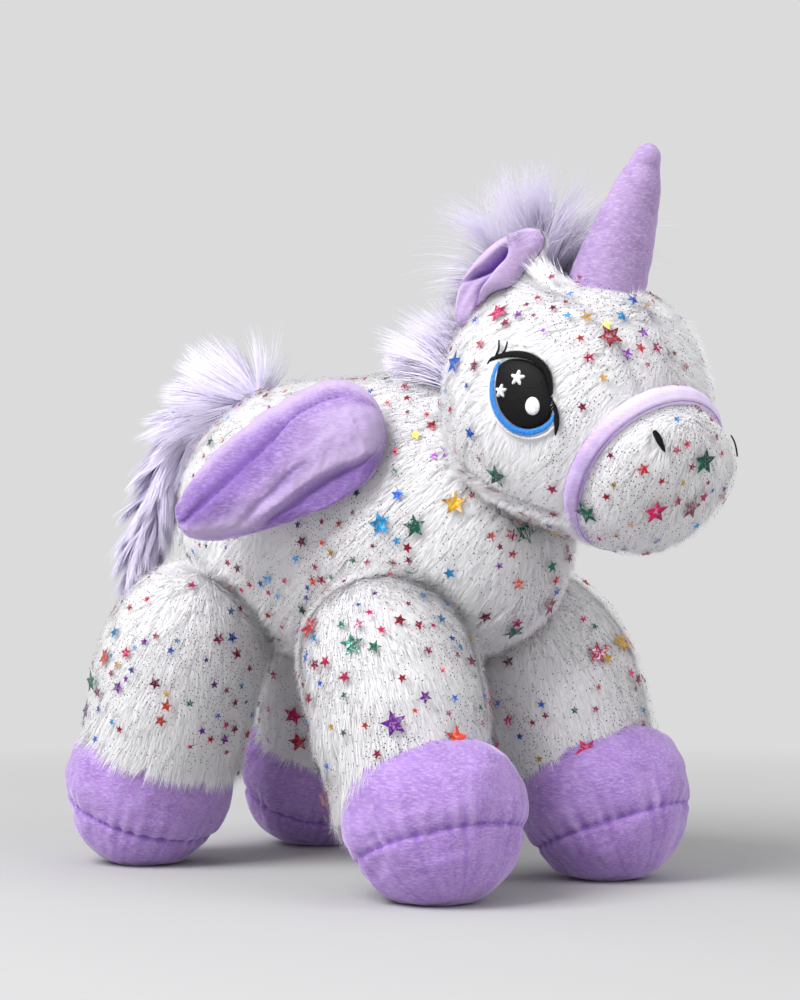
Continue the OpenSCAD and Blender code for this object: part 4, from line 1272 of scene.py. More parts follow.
thread = sewn("horn_seam", line @ horn_turn.T + horn_foot_at, np.tile(horn_turn @ np.array([0, 0, 1.0]), (len(h), 1)),
              np.tile(horn_turn @ np.array([math.cos(back_angle), math.sin(back_angle), 0]), (len(h), 1)), 2.0, 0.4, 0.25,
              seam_thread)
horn = joined("horn", [horn, thread])
finished(horn, "body", ["horn_cover", "horn_stuffing"])

# %% [markdown]
# ### Noseband
# A folded velboa strap round the muzzle, padded a little and sewn down over the muzzle's seam, so that it presses
# into the fur.

# %% Noseband
v = np.arange(0, 360, 3.0)
half = 3.7 / (HEAD_LENGTH * 90 * math.sin(math.pi * NOSEBAND_U) / 57.3)
s = np.linspace(-1, 1, 15)
lift = 0.6 + 3.6 * (1 - np.abs(s) ** 3.2)
lift = lift - 0.9 * np.exp(-((s - 0.62) / 0.10) ** 2)
wobble = 0.25 * np.sin(np.radians(v) * 9 + 1) + 0.2 * np.sin(np.radians(v) * 23)
slack = 1 - 0.5 * under_chin(v)
outer = np.stack([head_point(NOSEBAND_U + half * si, v, -(li * slack + wobble)) for si, li in zip(s, lift)])
inner = np.stack([head_point(NOSEBAND_U + half * si, v, -0.15 + 0 * v) for si in s])
strap = skin_from_rows("noseband_strap", outer, inner, closed=True, flip=True)
# Painted shade on the strap's lower side and a painted highlight on its top, where the light from above falls
above = (coords(strap) * 1000 - PLACE - HEAD_BACK) @ HEAD_UP
put(strap, "painted_shade", 0.30 * smooth_step((22 - above) / 22))
put(strap, "ridge", 0.6 * smooth_step((above - 14) / 24))
rounder(strap)
strap.data.materials.append(ribbon_velboa)
vv = np.arange(0, 360, 2.1)
edge = head_point(NOSEBAND_U + half * 0.62, vv, -3.2 + 0 * vv)
run = np.roll(edge, -1, 0) - np.roll(edge, 1, 0)
thread = sewn("noseband_seam", edge, run, edge - (HEAD_BACK + HEAD_AXIS * 90), 1.5, 0.35, 0.15, seam_thread)
strap = joined("noseband_strap", [strap, thread])
finished(strap, "body", ["noseband"])

# %% [markdown]
# ### Eyes and nostrils
# Both are machine embroidery. A dark fill is laid flat, then the blue rim, the lid and the lashes are satin stitch:
# threads side by side across each shape. White spots on top are the light in the eye.

# %% Eye helpers
EYE_LIFT = 2.6


def eye_out(a, b):
    return unit(eye_at(a, b, 3.0) - eye_at(a, b, 1.0))


def patch(name, outline, lift, height, material, rings=10, dome=0.5):
    """A flat embroidered field: a closed outline in the eye's millimetres, slightly domed, with an edge."""
    outline = np.asarray(outline, float)
    middle = outline.mean(0)
    n = len(outline)
    rows = []
    for k in range(rings + 1):
        share = k / rings
        at = middle + (outline - middle) * share
        rows.append(eye_at(at[:, 0], at[:, 1], lift + height * (1 - 0.9 * share ** 6) + dome * (1 - share ** 2)))
    low = eye_at(outline[:, 0], outline[:, 1], 0.2)
    rows.append(low)
    verts = np.concatenate([rows[0][:1]] + rows[1:] + [eye_at(*middle, 0.2)[None]])
    faces = [(0, 1 + (j + 1) % n, 1 + j) for j in range(n)] + grid_faces(rings + 1, n, True, 1)
    last = 1 + rings * n
    faces += [(last + j, last + (j + 1) % n, len(verts) - 1) for j in range(n)]
    ob = outward(new_piece(name, verts, faces))
    ob.data.materials.append(material)
    return ob


def satin(name, middle_line, widths, lift, material, pitch=0.34, thread=0.42, slant=0.25):
    """Satin stitch along a line of points in the eye's millimetres; widths is the column's width at each."""
    line = np.asarray(middle_line, float)
    walk = np.concatenate([[0], np.cumsum(np.linalg.norm(np.diff(line, axis=0), axis=1))])
    s = np.arange(0, walk[-1], pitch)
    a, b = np.interp(s, walk, line[:, 0]), np.interp(s, walk, line[:, 1])
    w = np.interp(s, walk, widths)
    da, db = np.gradient(a), np.gradient(b)
    norm = np.hypot(da, db)
    da, db = da / norm, db / norm
    ca, cb = -db + slant * da, da + slant * db
    p = eye_at(a, b, lift)
    q = eye_at(a + ca * 0.5, b + cb * 0.5, lift)
    return sewn(name, p, q - p, eye_out(a, b), w, thread, 0.35, material)


# %% Embroidered eyes
def star_outline(a, b, radius, dent=0.5, points=5, soft=0.18):
    t = np.linspace(0, 2 * np.pi, 60, endpoint=False)
    wave = (1 + np.cos(points * t)) / 2
    rad = radius * (dent + (1 - dent) * wave ** (1 + soft))
    return np.stack([a + rad * np.sin(t), b + rad * np.cos(t)], -1)


def oval_outline(a, b, ra, rb, n=40):
    t = np.linspace(0, 2 * np.pi, n, endpoint=False)
    return np.stack([a + ra * np.cos(t), b + rb * np.sin(t)], -1)


def rounded(points, n=80, closed=False):
    """n points on a smooth line through a few; a closed line comes back to its start."""
    p = np.asarray(points, float)
    if closed:
        p = np.concatenate([p[-3:], p, p[:3]])
    walk = np.concatenate([[0], np.cumsum(np.linalg.norm(np.diff(p, axis=0), axis=1))])
    lo, hi = (walk[3], walk[-3]) if closed else (0.0, walk[-1])
    s = np.linspace(lo, hi, n, endpoint=not closed)
    table = [[a, *b] for a, b in zip(walk, p)]
    return np.stack([along(table, 1, s), along(table, 2, s)], -1)


FIELD = [(-9.0, 12.0), (-5.0, 14.6), (1.0, 15.0), (7.0, 13.9), (12.0, 11.3), (15.2, 7.2), (17.4, 2.2), (18.8, -2.6),
         (17.4, -7.2), (13.2, -11.0), (7.6, -12.9), (1.6, -11.8), (-3.6, -8.0), (-7.2, -2.4), (-9.0, 4.0), (-9.4, 9.0)]
RIM = [(-8.4, 12.8), (-9.8, 9.0), (-9.8, 2.8), (-8.0, -3.5), (-4.5, -9.0), (1.0, -13.2), (8.0, -14.4), (14.6, -12.2),
       (18.8, -8.2), (20.2, -4.2)]
HALO = [(-11.9, 8.0), (-11.8, 2.0), (-9.8, -5.0), (-6.0, -11.0), (0.2, -15.6), (8.0, -17.0), (15.6, -14.6), (20.6, -9.8)]
LID = [(-13.2, 13.6), (-9.0, 15.2), (-2.5, 16.2), (3.8, 15.9), (9.6, 14.2), (14.0, 11.2), (16.6, 7.2), (18.0, 3.0)]
field = patch("right_eye_field", rounded(FIELD, 90, True), EYE_LIFT - 0.6, 0.7, black_thread, dome=1.2)
rim = satin("right_eye_rim_thread", rounded(RIM, 100), 3.2 * np.sin(np.linspace(0.35, 2.95, 100)) ** 0.45,
            EYE_LIFT + 0.55, blue_thread)
halo = satin("right_eye_halo", rounded(HALO, 90), np.full(90, 1.5), EYE_LIFT - 0.3, white_thread, thread=0.4)
lid = satin("right_eye_lid", rounded(LID, 90), 3.9 * np.sin(np.linspace(0.32, 2.95, 90)) ** 0.7, EYE_LIFT + 0.9,
            black_thread)
lashes = [satin("right_eye_lash", rounded(line, 20), np.linspace(wide, 0.6, 20), EYE_LIFT + 0.9, black_thread)
          for line, wide in ((((-10.6, 15.6), (-10.4, 18.6), (-11.8, 22.6)), 1.9),
                             (((-7.6, 16.0), (-6.9, 18.6), (-7.2, 21.8)), 1.8),
                             (((-12.2, 14.4), (-13.4, 13.6), (-14.2, 12.0)), 1.9))]
leaf = satin("right_eye_leaf", rounded([(18.6, 1.0), (20.6, -3.0), (21.4, -8.0), (21.0, -14.0)], 30),
             3.0 * np.sin(np.linspace(0.15, 3.0, 30)), EYE_LIFT + 0.7, black_thread)
spots = [patch("right_eye_glint", oval_outline(10.4, -3.2, 3.1, 3.6), EYE_LIFT + 1.1, 0.5, white_thread, 4),
         patch("right_eye_star", star_outline(2.2, 6.8, 3.2), EYE_LIFT + 1.3, 0.4, white_thread, 4),
         patch("right_eye_star2", star_outline(-4.6, 1.3, 2.8), EYE_LIFT + 1.1, 0.4, white_thread, 4)]
lash_parts = [lid, leaf] + lashes
right_pieces = {"eye_field": (field, "black_thread", "eye_patch"), "eye_rim_stitches": (rim, "blue_thread", "eye_rim"),
                "eye_halo": (halo, "white_thread", None),
                "eye_lid_and_lashes": (joined("lid", lash_parts), "black_thread", "eye_lashes"),
                "eye_glints": (joined("glints", spots), "white_thread", "eye_highlights")}

# %% Nostrils
nostril_u, nostril_v = 0.800, 134.5
t = np.linspace(-1, 1, 28)
reach = 2.5 * np.sqrt(np.maximum(0, 1 - t**2)) * (1.1 - 0.3 * t) + 0.3
at = on_head(nostril_u, nostril_v, 4.7 * t, -1.4 * t, 3.7)
ahead = on_head(nostril_u, nostril_v, 4.7 * t + 0.3, -1.4 * t + 1.0, 3.7)
out = on_head(nostril_u, nostril_v, 4.7 * t, -1.4 * t, 5.7) - at
right_pieces["nostril_stitches"] = (sewn("nostril", at, ahead - at, out, reach, 0.55, 0.4, black_thread), "black_thread",
                                    "nostril")
for label, (ob, thread_slot, node_label) in right_pieces.items():
    left = copy_mirrored(ob, "left_" + label)
    ob.name = ob.data.name = "right_" + label
    for side_name, piece in (("right", ob), ("left", left)):
        finished(piece, "body", [side_name + "_" + node_label] if node_label else ())
print("eyes and nostrils are embroidered")

# %% [markdown]
# ### Wings
# A wing is a long pillow of velboa. Its seam runs down the face that shows, puckered by the machine, and the fuller
# lower half folds over itself in two creases. The filling is simulated with those lines held, then the creases,
# the seam's groove and its puckers are pressed in.

# %% Wing form
WING_LENGTH, WING_WIDTH, WING_ROUND = 98.0, 56.0, 11.5
WING_STATIONS = [[0, 0, 0], [.006, .22, .30], [.02, .40, .52], [.045, .57, .72], [.08, .73, .88], [.125, .86, .97],
                 [.18, .95, 1], [.35, 1, 1], [.6, .88, .92], [.8, .68, .80], [.88, .55, .68], [.94, .41, .52],
                 [.975, .27, .34], [1, 0, 0]]


def slope_normal(point, u, v):
    tiny = 0.002
    a, b = point(u + tiny, v) - point(u - tiny, v), point(u, v + 1) - point(u, v - 1)
    return unit(np.cross(a, b))


wing_root = torso_point(0.36, 147) + slope_normal(torso_point, 0.36, 147) * (WING_ROUND - 0.3 + 0.5)
spread, droop = math.radians(24), math.radians(26)
wing_way = np.array([-math.sin(spread) * math.cos(droop), math.cos(spread) * math.cos(droop), -math.sin(droop)])
wing_across = unit(np.array([0, -.64, -.77]) - wing_way * (np.array([0, -.64, -.77]) @ wing_way))
wing_face = np.cross(wing_way, wing_across)
SEAM_LINE = [[0, -.50], [.1, -.47], [.3, -.43], [.47, -.20], [.66, -.02], [.85, .22], [1, .45]]
CREASE_1 = [[0, .30], [.25, .35], [.39, .38], [.52, .55], [.67, .75], [.78, .96], [1, 1.3]]
CREASE_2 = [[0, .98], [.06, .92], [.21, .68], [.35, .66], [.51, .80], [.61, .90], [.73, 1.02], [1, 1.4]]


def wing_point(p, w, height):
    reach = -WING_ROUND + p * (WING_LENGTH + WING_ROUND)
    half = WING_WIDTH / 2 * along(WING_STATIONS, 1, p)
    thick = WING_ROUND * np.maximum(along(WING_STATIONS, 2, p), 0)
    return (wing_root + wing_way * reach[..., None] + wing_across * (w * half)[..., None]
            + wing_face * (height * thick)[..., None])


def crease_lines(p):
    first = np.minimum(along(CREASE_1, 1, p), 0.88)
    return first, np.clip(along(CREASE_2, 1, p), first + 0.08, 0.97)


def wing_height(p, w, upper):
    """Height share of the cloth at a place across the wing, on the face that shows or on the one below."""
    c1, c2 = crease_lines(p)
    begins = smooth_step((p - 0.24) / 0.24)
    there = smooth_step((0.97 - c2) / 0.10)
    # The full lobe stands over the second crease; what lies below it is thin and sunk
    m = np.clip((w + 1) / (c2 + 1), 0, 1)
    lobe = np.maximum(0, 1 - np.abs(2 * m - 1) ** 2.2) ** 0.56
    base = 0.50 * there * m**3
    main = base + (1 - base) * lobe
    n = np.clip((w - c2) / (1 - c2), 0, 1)
    below = (0.20 + 0.10 * np.sin(np.pi * np.clip(n * 1.1, 0, 1))) * np.maximum(0, 1 - n**3) ** 0.6 * there
    step = 0.11 * np.exp(-np.maximum(w - c1, 0) / 0.30) * smooth_step((w - c1 + 0.04) / 0.10) * begins
    face = np.where(w <= c2, main - step * lobe, below)
    return np.where(upper, 1.32 * face, -0.9 * np.sqrt(np.maximum(0, 1 - w**2)) ** 0.8)


P_ROWS = 84
p_rows = eased(np.linspace(0.02, 0.985, P_ROWS))
c1_rows, c2_rows = crease_lines(p_rows)


def shares(n):
    """n shares from 0 to 1, a little closer together towards both ends."""
    t = np.linspace(0, 1, n)
    return 0.5 * t + 0.5 * (0.5 - 0.5 * np.cos(np.pi * t))


outer_part, middle_part, inner_part, low_part = shares(36), shares(12), shares(14), shares(34)
w_face = np.concatenate([-1 + (c1_rows[:, None] + 1) * outer_part[None, :],
                         c1_rows[:, None] + (c2_rows - c1_rows)[:, None] * middle_part[None, 1:],
                         c2_rows[:, None] + 0.012 + (0.988 - c2_rows)[:, None] * inner_part[None, :]], axis=1)
w_low = np.broadcast_to(1 - 2 * low_part[None, 1:-1], (P_ROWS, len(low_part) - 2))
w = np.concatenate([w_face, w_low], axis=1)
TURNS = w.shape[1]
on_face = np.broadcast_to(np.arange(TURNS)[None, :] < w_face.shape[1], w.shape)
pp = np.broadcast_to(p_rows[:, None], w.shape)
height = wing_height(pp, w, on_face)
c1, c2 = (np.broadcast_to(x[:, None], w.shape) for x in (c1_rows, c2_rows))
q = wing_point(pp, w, height).reshape(-1, 3)
caps = [wing_point(np.array([p]), np.array([0.0]), np.array([0.1]))[0] for p in (0.0, 1.0)]
verts = np.concatenate([q, caps])
n = P_ROWS * TURNS
faces = grid_faces(P_ROWS, TURNS, True)
faces += [(n, (j + 1) % TURNS, j) for j in range(TURNS)]
faces += [(n + 1, n - TURNS + j, n - TURNS + (j + 1) % TURNS) for j in range(TURNS)]
wing = outward(new_piece("right_wing", verts, faces))
seam_w = along(SEAM_LINE, 1, pp)
pins = np.exp(-((w - seam_w) / 0.05) ** 2) * on_face
pins += np.exp(-((w - c1) / 0.05) ** 2) * on_face * smooth_step((pp - 0.26) / 0.2)
pins += np.exp(-((w - c2) / 0.05) ** 2) * on_face + np.clip(1 - (pp - 0.03) / 0.05, 0, 1) + np.where(on_face, 0, 0.85)
pins = np.concatenate([np.clip(pins, 0, 1).ravel(), [1, 1]])
stuffed(wing, pins, 3.0, 1.3, 20, 0.02)
co = coords(wing) * 1000 - PLACE
half = WING_WIDTH / 2 * along(WING_STATIONS, 1, pp)
from_seam = (w - seam_w) * half
walk = pp * (WING_LENGTH + WING_ROUND)
pucker = np.cos(2 * math.pi * walk / 3.1 + 2.5 * np.sin(walk / 7)) * np.exp(-np.abs(from_seam) / 2.4)
fold = np.exp(-((w - c1 - 0.03) * half / 1.5) ** 2) * smooth_step((pp - 0.28) / 0.22)
fold += np.exp(-((w - c2 - 0.03) * half / 1.3) ** 2) * smooth_step((0.97 - c2) / 0.10) * smooth_step((pp - 0.1) / 0.12)
runs = smooth_step((pp - 0.06) / 0.06) * smooth_step((0.985 - pp) / 0.03)
press = (-2.0 * np.exp(-(from_seam / 2.1) ** 2) - 0.55 * pucker) * runs - 1.0 * fold
press = np.where(on_face, press, 0).ravel()
lump = 0.35 * soft_noise(co[:n], 17, 500) + 0.2 * soft_noise(co[:n], 8, 501)
normal = numbers(wing.data.vertices, "normal")
press = np.concatenate([press + np.where(on_face.ravel(), lump, 0.2 * lump), [0, 0]])
set_coords(wing, (co + normal * press[:, None] + PLACE) * 0.001)
# Painted shade along the seam, in the creases and over the sunk lower lobe; painted highlight on the crests before both
# creases, along the upper edge and below the seam near the root
painted_shade = (0.55 * np.exp(-(from_seam / 1.2) ** 2) + 0.7 * smooth_step((pp - 0.22) / 0.35)
          * np.exp(-(from_seam / 8.5) ** 2)) * runs
sunk = (w > c2) * smooth_step((0.97 - c2) / 0.10)
painted_shade = painted_shade + sunk * (0.35 + 0.5 * np.exp(-((w - c2) * half / 4.0) ** 2)) + 0.3 * fold
ridge = 0.55 * np.exp(-((w - c2 + 0.10) * half / 3.0) ** 2) + 0.75 * np.exp(-((w + 0.82) / 0.20) ** 2)
ridge = ridge + 0.3 * np.exp(-((w - c1 + 0.10) * half / 3.5) ** 2) * (pp > 0.15)
ridge = ridge + 0.6 * smooth_step((0.45 - pp) / 0.4) * smooth_step((w - seam_w - 0.1) / 0.3) * (w < c2)
put(wing, "painted_shade", np.concatenate([np.where(on_face, np.clip(painted_shade, 0, 0.9), 0).ravel(), [0, 0]]))
put(wing, "ridge", np.concatenate([np.where(on_face, np.clip(ridge, 0, 0.7), 0).ravel(), [0, 0]]))
rounder(wing)
wing.data.materials.append(wing_velboa)
sp = np.arange(0.09, 0.955, 3.1 / (WING_LENGTH + WING_ROUND))
sw = along(SEAM_LINE, 1, sp)
line = wing_point(sp, sw, wing_height(sp, sw, np.ones(len(sp), bool))) - wing_face * 1.5
run = np.gradient(line, axis=0)
thread = sewn("right_wing_seam", line, run, np.tile(wing_face, (len(sp), 1)), 1.8, 0.28, 0.2, seam_thread)
wing = joined("right_wing", [wing, thread])
left_wing = copy_mirrored(wing, "left_wing")
for side_name, piece in (("right", wing), ("left", left_wing)):
    finished(piece, side_name + "_wing",
             [side_name + "_wing_" + part for part in ("top", "under", "stuffing")])

# %% [markdown]
# ### Ears
# An ear is a velboa lining and a fur back, folded lengthways and caught in the head's seam. The fold leaves a
# pocket between a front lip and a back lip. Its plan is drawn in the ear's own plane, along the seam and up.

# %% Ears
ear_a, ear_b = head_point(0.22, 161.0, -0.9), head_point(0.33, 122.0, -0.9)
ear_along = unit(ear_b - ear_a)
ear_out = -slope_normal(head_point, 0.275, 141.5)
ear_side = unit(np.cross(ear_along, ear_out))
ear_rise = ear_out * math.cos(math.radians(37)) - ear_side * math.sin(math.radians(37))
ear_face = np.cross(ear_along, ear_rise)
BACK_EDGE = [(-4.4, 0.5), (-3.6, 5.0), (-0.9, 10.2), (3.5, 16.4), (11.3, 21.4), (20.0, 24.6), (28.7, 26.1), (37.5, 25.6),
             (43.6, 23.9), (47.3, 20.6)]
FRONT_EDGE = [(-3.6, 0.3), (2.0, 0.6), (6.5, 2.4), (10.5, 5.0), (14.5, 6.6), (19.5, 6.4), (24.0, 5.4), (28.5, 5.8),
              (33.8, 8.2), (39.0, 10.8), (44.5, 13.2), (47.8, 16.8)]
LIP = [(4.1, -1.0), (9.4, 4.5), (13.4, 8.8), (18.4, 11.1), (25.0, 14.2), (30.3, 15.7), (31.8, 17.3), (31.4, 20.2)]
POCKET = [(3.5, 16.4, 0.8, 0.2), (8.5, 16.4, 1.2, 0.6), (13.0, 16.4, 1.7, 0.9), (19.0, 16.2, 2.3, 1.0),
          (25.0, 17.6, 2.4, 1.0), (28.6, 19.0, 1.9, 1.0), (30.6, 20.2, 1.2, 0.7)]


def spaced(points, n):
    """n points along a line, evenly spaced and rounded."""
    points = np.asarray(points, float)
    walk = np.concatenate([[0], np.cumsum(np.linalg.norm(np.diff(points[:, :2], axis=0), axis=1))])
    s = np.linspace(0, walk[-1], n)
    table = [[a, *b] for a, b in zip(walk, points)]
    return np.stack([along(table, c + 1, s) for c in range(points.shape[1])], -1)


ROWS, COLS = 60, 30
back_edge, front_edge = spaced(BACK_EDGE, ROWS), spaced(FRONT_EDGE, ROWS)
lip = spaced(LIP, 60)
pocket = spaced(POCKET, 60)
c = np.linspace(0, 1, COLS)[None, :, None]
flat = back_edge[:, None, :] * (1 - c) + front_edge[:, None, :] * c
c = np.broadcast_to(c[..., 0], (ROWS, COLS))
t = np.broadcast_to(np.linspace(0, 1, ROWS)[:, None], (ROWS, COLS))
d = np.linalg.norm(flat[:, :, None, :] - lip[None, None, :, :], axis=-1)
which = d.argmin(-1)
to_lip = d.min(-1)
tangent = np.gradient(lip, axis=0)
off_lip = flat - lip[which]
side = np.sign(tangent[which][..., 0] * off_lip[..., 1] - tangent[which][..., 1] * off_lip[..., 0])
ahead = -side * to_lip
along_lip = which / 59.0
pillow = np.maximum(0, 1 - np.abs(2 * c - 1) ** 3.0) ** 0.5 * np.clip(np.minimum(t, 1 - t) / 0.10, 0, 1) ** 0.5
front_lip = smooth_step((ahead + 0.6) / 1.6) * smooth_step(along_lip / 0.15) * smooth_step((1.0 - along_lip) / 0.10)
front_lip *= np.exp(-np.maximum(ahead, 0) / 16.0)
pd = np.linalg.norm(flat[:, :, None, :] - pocket[None, None, :, :2], axis=-1)
k = pd.argmin(-1)
hole = pocket[k][..., 3] * np.exp(-(pd.min(-1) / (0.85 * pocket[k][..., 2])) ** 2)
groove = np.exp(-((ahead + 0.9) / 0.8) ** 2) * smooth_step((along_lip - 0.03) / 0.1) * (along_lip < 0.97)
top_z = 0.4 + 3.0 * pillow + 3.4 * front_lip * pillow ** 0.3 - 6.5 * hole - 1.4 * groove
top_z += 0.9 * np.exp(-((c - 0.16) / 0.12) ** 2) * pillow
top_z += 0.35 * np.sin((flat[..., 0] * 0.7 - flat[..., 1] * 1.1)) * np.exp(-((flat[..., 0] - 8) / 6) ** 2) * pillow
back_z = np.minimum(-0.5 - 2.2 * pillow, top_z - 1.3)


def ear_grid(z):
    return (ear_a + ear_along * flat[..., :1] + ear_rise * flat[..., 1:] + ear_face * (z[..., None] + 0.6))


lining = skin_from_rows("right_ear_lining_cloth", ear_grid(top_z), ear_grid(np.minimum(top_z - 0.9, back_z + 0.1)))
# Painted shade in the pocket and in the groove before the front lip; painted highlight along the back edge, on the
# front lip's crest and, more faintly, over the rest of the lining
deep_in = np.clip(1.1 * hole + 0.75 * groove, 0, 0.95).ravel()
edge_on = np.clip(0.3 * (1 - np.clip(hole, 0, 1)) + 0.6 * np.exp(-((c - 0.10) / 0.10) ** 2)
                  + 0.5 * np.exp(-((ahead - 1.6) / 1.2) ** 2) * front_lip, 0, 0.7)
put(lining, "painted_shade", np.concatenate([deep_in, np.zeros(len(lining.data.vertices) - deep_in.size)]))
put(lining, "ridge", np.concatenate([edge_on.ravel(), np.zeros(len(lining.data.vertices) - deep_in.size)]))
rounder(lining)
lining.data.materials.append(pale_velboa)
back_skin = skin_from_rows("right_ear_back_skin", ear_grid(back_z + 0.05), ear_grid(back_z - 0.8))
dressed_skin(back_skin, lambda p, out: 0.3 * ear_along - ear_rise + 0 * p, lambda p: 4.6 + 0 * p[:, 0],
             lambda p: np.ones(len(p)), lambda p: np.tile(-ear_face, (len(p), 1)))
left_skin = copy_mirrored(back_skin, "left_ear_back_skin")
furred(back_skin, "right_ear_back_fur", 5.5, "right_ear", ["right_ear_back"], 71, tuft=4.0, rise=0.35)
furred(left_skin, "left_ear_back_fur", 5.5, "left_ear", ["left_ear_back"], 71, tuft=4.0, rise=0.35)
left_lining = copy_mirrored(lining, "left_ear_lining_cloth")
finished(lining, "right_ear", ["right_ear_lining"])
finished(left_lining, "left_ear", ["left_ear_lining"])

# %% [markdown]
# ### Mane and tail
# Both are strips of long-pile plush. The mane's strip runs from behind the horn over the head and down the neck,
# and its pile stands in pointed tufts. The tail's pile hangs in locks along a soft core.

# %% Mane
def top_of_toy(x, y):
    """Height of the head or back below a point, found by halving."""
    low, high = np.full(x.shape, 190.0), np.full(x.shape, 330.0)
    for _ in range(30):
        mid = (low + high) / 2
        p = np.stack([x.ravel(), y.ravel(), mid.ravel()], -1)
        inside = (np.maximum(depth_in_head(p), depth_in_torso(p)) > 0).reshape(x.shape)
        low, high = np.where(inside, mid, low), np.where(inside, high, mid)
    return (low + high) / 2


rows, cols = 54, 13
yy, xx = np.meshgrid(np.linspace(-121, -22, rows), np.linspace(-1, 1, cols), indexing="ij")
width = np.interp(yy, [-121, -108, -80, -40, -22], [8, 10, 10, 11, 7])
xx = xx * width
zz = top_of_toy(xx, yy)
strip = np.stack([xx, yy, zz + 0.4], -1)
skin = skin_from_rows("mane_skin", strip, strip - np.array([0, 0, 2.0]))


def mane_pile(p):
    return (np.interp(p[:, 1], [-121, -112, -97, -88, -76, -68, -62, -54, -44, -34, -22],
                      [48, 50, 42, 28, 22, 38, 38, 28, 19, 13, 10])
            * (1 + 0.14 * soft_noise(p, 16, 31)))


dressed_skin(skin, lambda p, out: np.stack([p[:, 0] * 0.022, np.interp(p[:, 1], [-121, -105, -80, -40], [-0.5, 0.05, 0.4, 0.9]),
                                            0 * p[:, 0]], -1), mane_pile,
             lambda p: np.where(depth_in_torso(p) + depth_in_head(p) > 60, 0.0, 1.0),
             lambda p: np.tile(unit(np.array([0, 0.2, 1.0])), (len(p), 1)), loose=True)
furred(skin, "mane_locks", 4.2, "body", ["mane"], 81, width=0.62, rise=1.15, tuft=7.0, pull=1.5, wander=0.46,
       jitter=0.07, curl=0.5, tree=lock_tree, material=lavender_pile)

# %% Tail
tail_root = torso_point(0.75, 90) + slope_normal(torso_point, 0.75, 90) * (6.0 - 0.7 + 0.5)
TAIL_RADIUS, TAIL_DROP = 16.0, 108.0
tail_fall = BODY_LENGTH / 2 - tail_root[1]


def falling(share, outward, x, down, wide, deep):
    return [share, x, tail_root[1] + tail_fall + TAIL_RADIUS * outward, tail_root[2] - TAIL_DROP * down,
            TAIL_RADIUS * wide, TAIL_RADIUS * deep]


TAIL = [[0.00, 0, tail_root[1] - 6, tail_root[2], 0, 0], [0.02, 0, tail_root[1] - 4.5, tail_root[2], 4, 4],
        [0.05, 0, tail_root[1], tail_root[2], 6, 6],
        [0.20, -6, tail_root[1] + tail_fall * 0.70, tail_root[2] - 3, TAIL_RADIUS * 0.72, TAIL_RADIUS * 0.66],
        falling(0.40, 0.75, -14, 0.22, 0.95, 0.85), falling(0.60, 1.10, -24, 0.48, 1.00, 0.85),
        falling(0.80, 1.15, -33, 0.74, 0.85, 0.72), falling(0.94, 1.05, -37, 0.93, 0.50, 0.42),
        falling(1.00, 1.00, -38, 1.00, 0.00, 0.00)]


def tail_middle(p):
    return np.stack([along(TAIL, c, p) for c in (1, 2, 3)], -1)


def tail_way(p):
    return unit(tail_middle(np.minimum(1, p + 0.01)) - tail_middle(np.maximum(0, p - 0.01)))


p_tail = np.linspace(0.03, 0.93, 46)
way = tail_way(p_tail)
across = unit(np.array([1.0, 0, 0]) - way * way[:, :1])
up = np.cross(way, across)
turn_at = np.radians(np.arange(0, 360, 12.0))
slim = np.interp(p_tail, [0, 0.1, 0.3, 1], [0.9, 0.6, 0.42, 0.38])
wide, deep = np.maximum(along(TAIL, 4, p_tail), 1.5) * slim, np.maximum(along(TAIL, 5, p_tail), 1.5) * slim


def tail_rows(less):
    return (tail_middle(p_tail)[:, None, :]
            + across[:, None, :] * (np.maximum(wide - less, 0.3)[:, None] * np.cos(turn_at))[..., None]
            + up[:, None, :] * (np.maximum(deep - less, 0.3)[:, None] * np.sin(turn_at))[..., None])


skin = skin_from_rows("tail_skin", tail_rows(0), tail_rows(1.2), closed=True, flip=True)
tail_samples = tail_middle(np.linspace(0, 1, 200))
tail_ways = tail_way(np.linspace(0, 1, 200))


def tail_share(p):
    return ((p[:, None, :] - tail_samples[None]) ** 2).sum(-1).argmin(1)


def tail_nap(p, out):
    k = tail_share(p)[:, None] / 199.0
    root = np.clip(1 - k / 0.42, 0, 1)
    return tail_ways[tail_share(p)] * (1 - 0.55 * root) + out * (0.06 + 0.75 * root) + np.array([0, 0.0, 0.45]) * root


def tail_pile(p):
    k = tail_share(p) / 199.0
    return np.interp(k, [0, 0.10, 0.3, 0.7, 0.93], [28, 31, 25, 23, 17]) * (1 + 0.10 * soft_noise(p, 20, 33))


dressed_skin(skin, tail_nap, tail_pile, lambda p: np.where(depth_in_torso(p) > 1, 0.0, 1.0),
             lambda p: unit(p - tail_samples[tail_share(p)]), loose=True)
furred(skin, "tail_locks", 4.5, "tail", ["tail"], 91, width=0.5, rise=0.14, tuft=5.6, pull=2.0, wander=0.3,
       jitter=0.06, curl=0.2, tree=lock_tree, material=lavender_pile)

# %% [markdown]
# ### Foil stars and glitter
# The print is foil, pressed on the tips of the pile: stars of three sizes and drifts of fine dots.
# The tree scatters them on the same skins as the fur and lifts them to the tips of the strands.

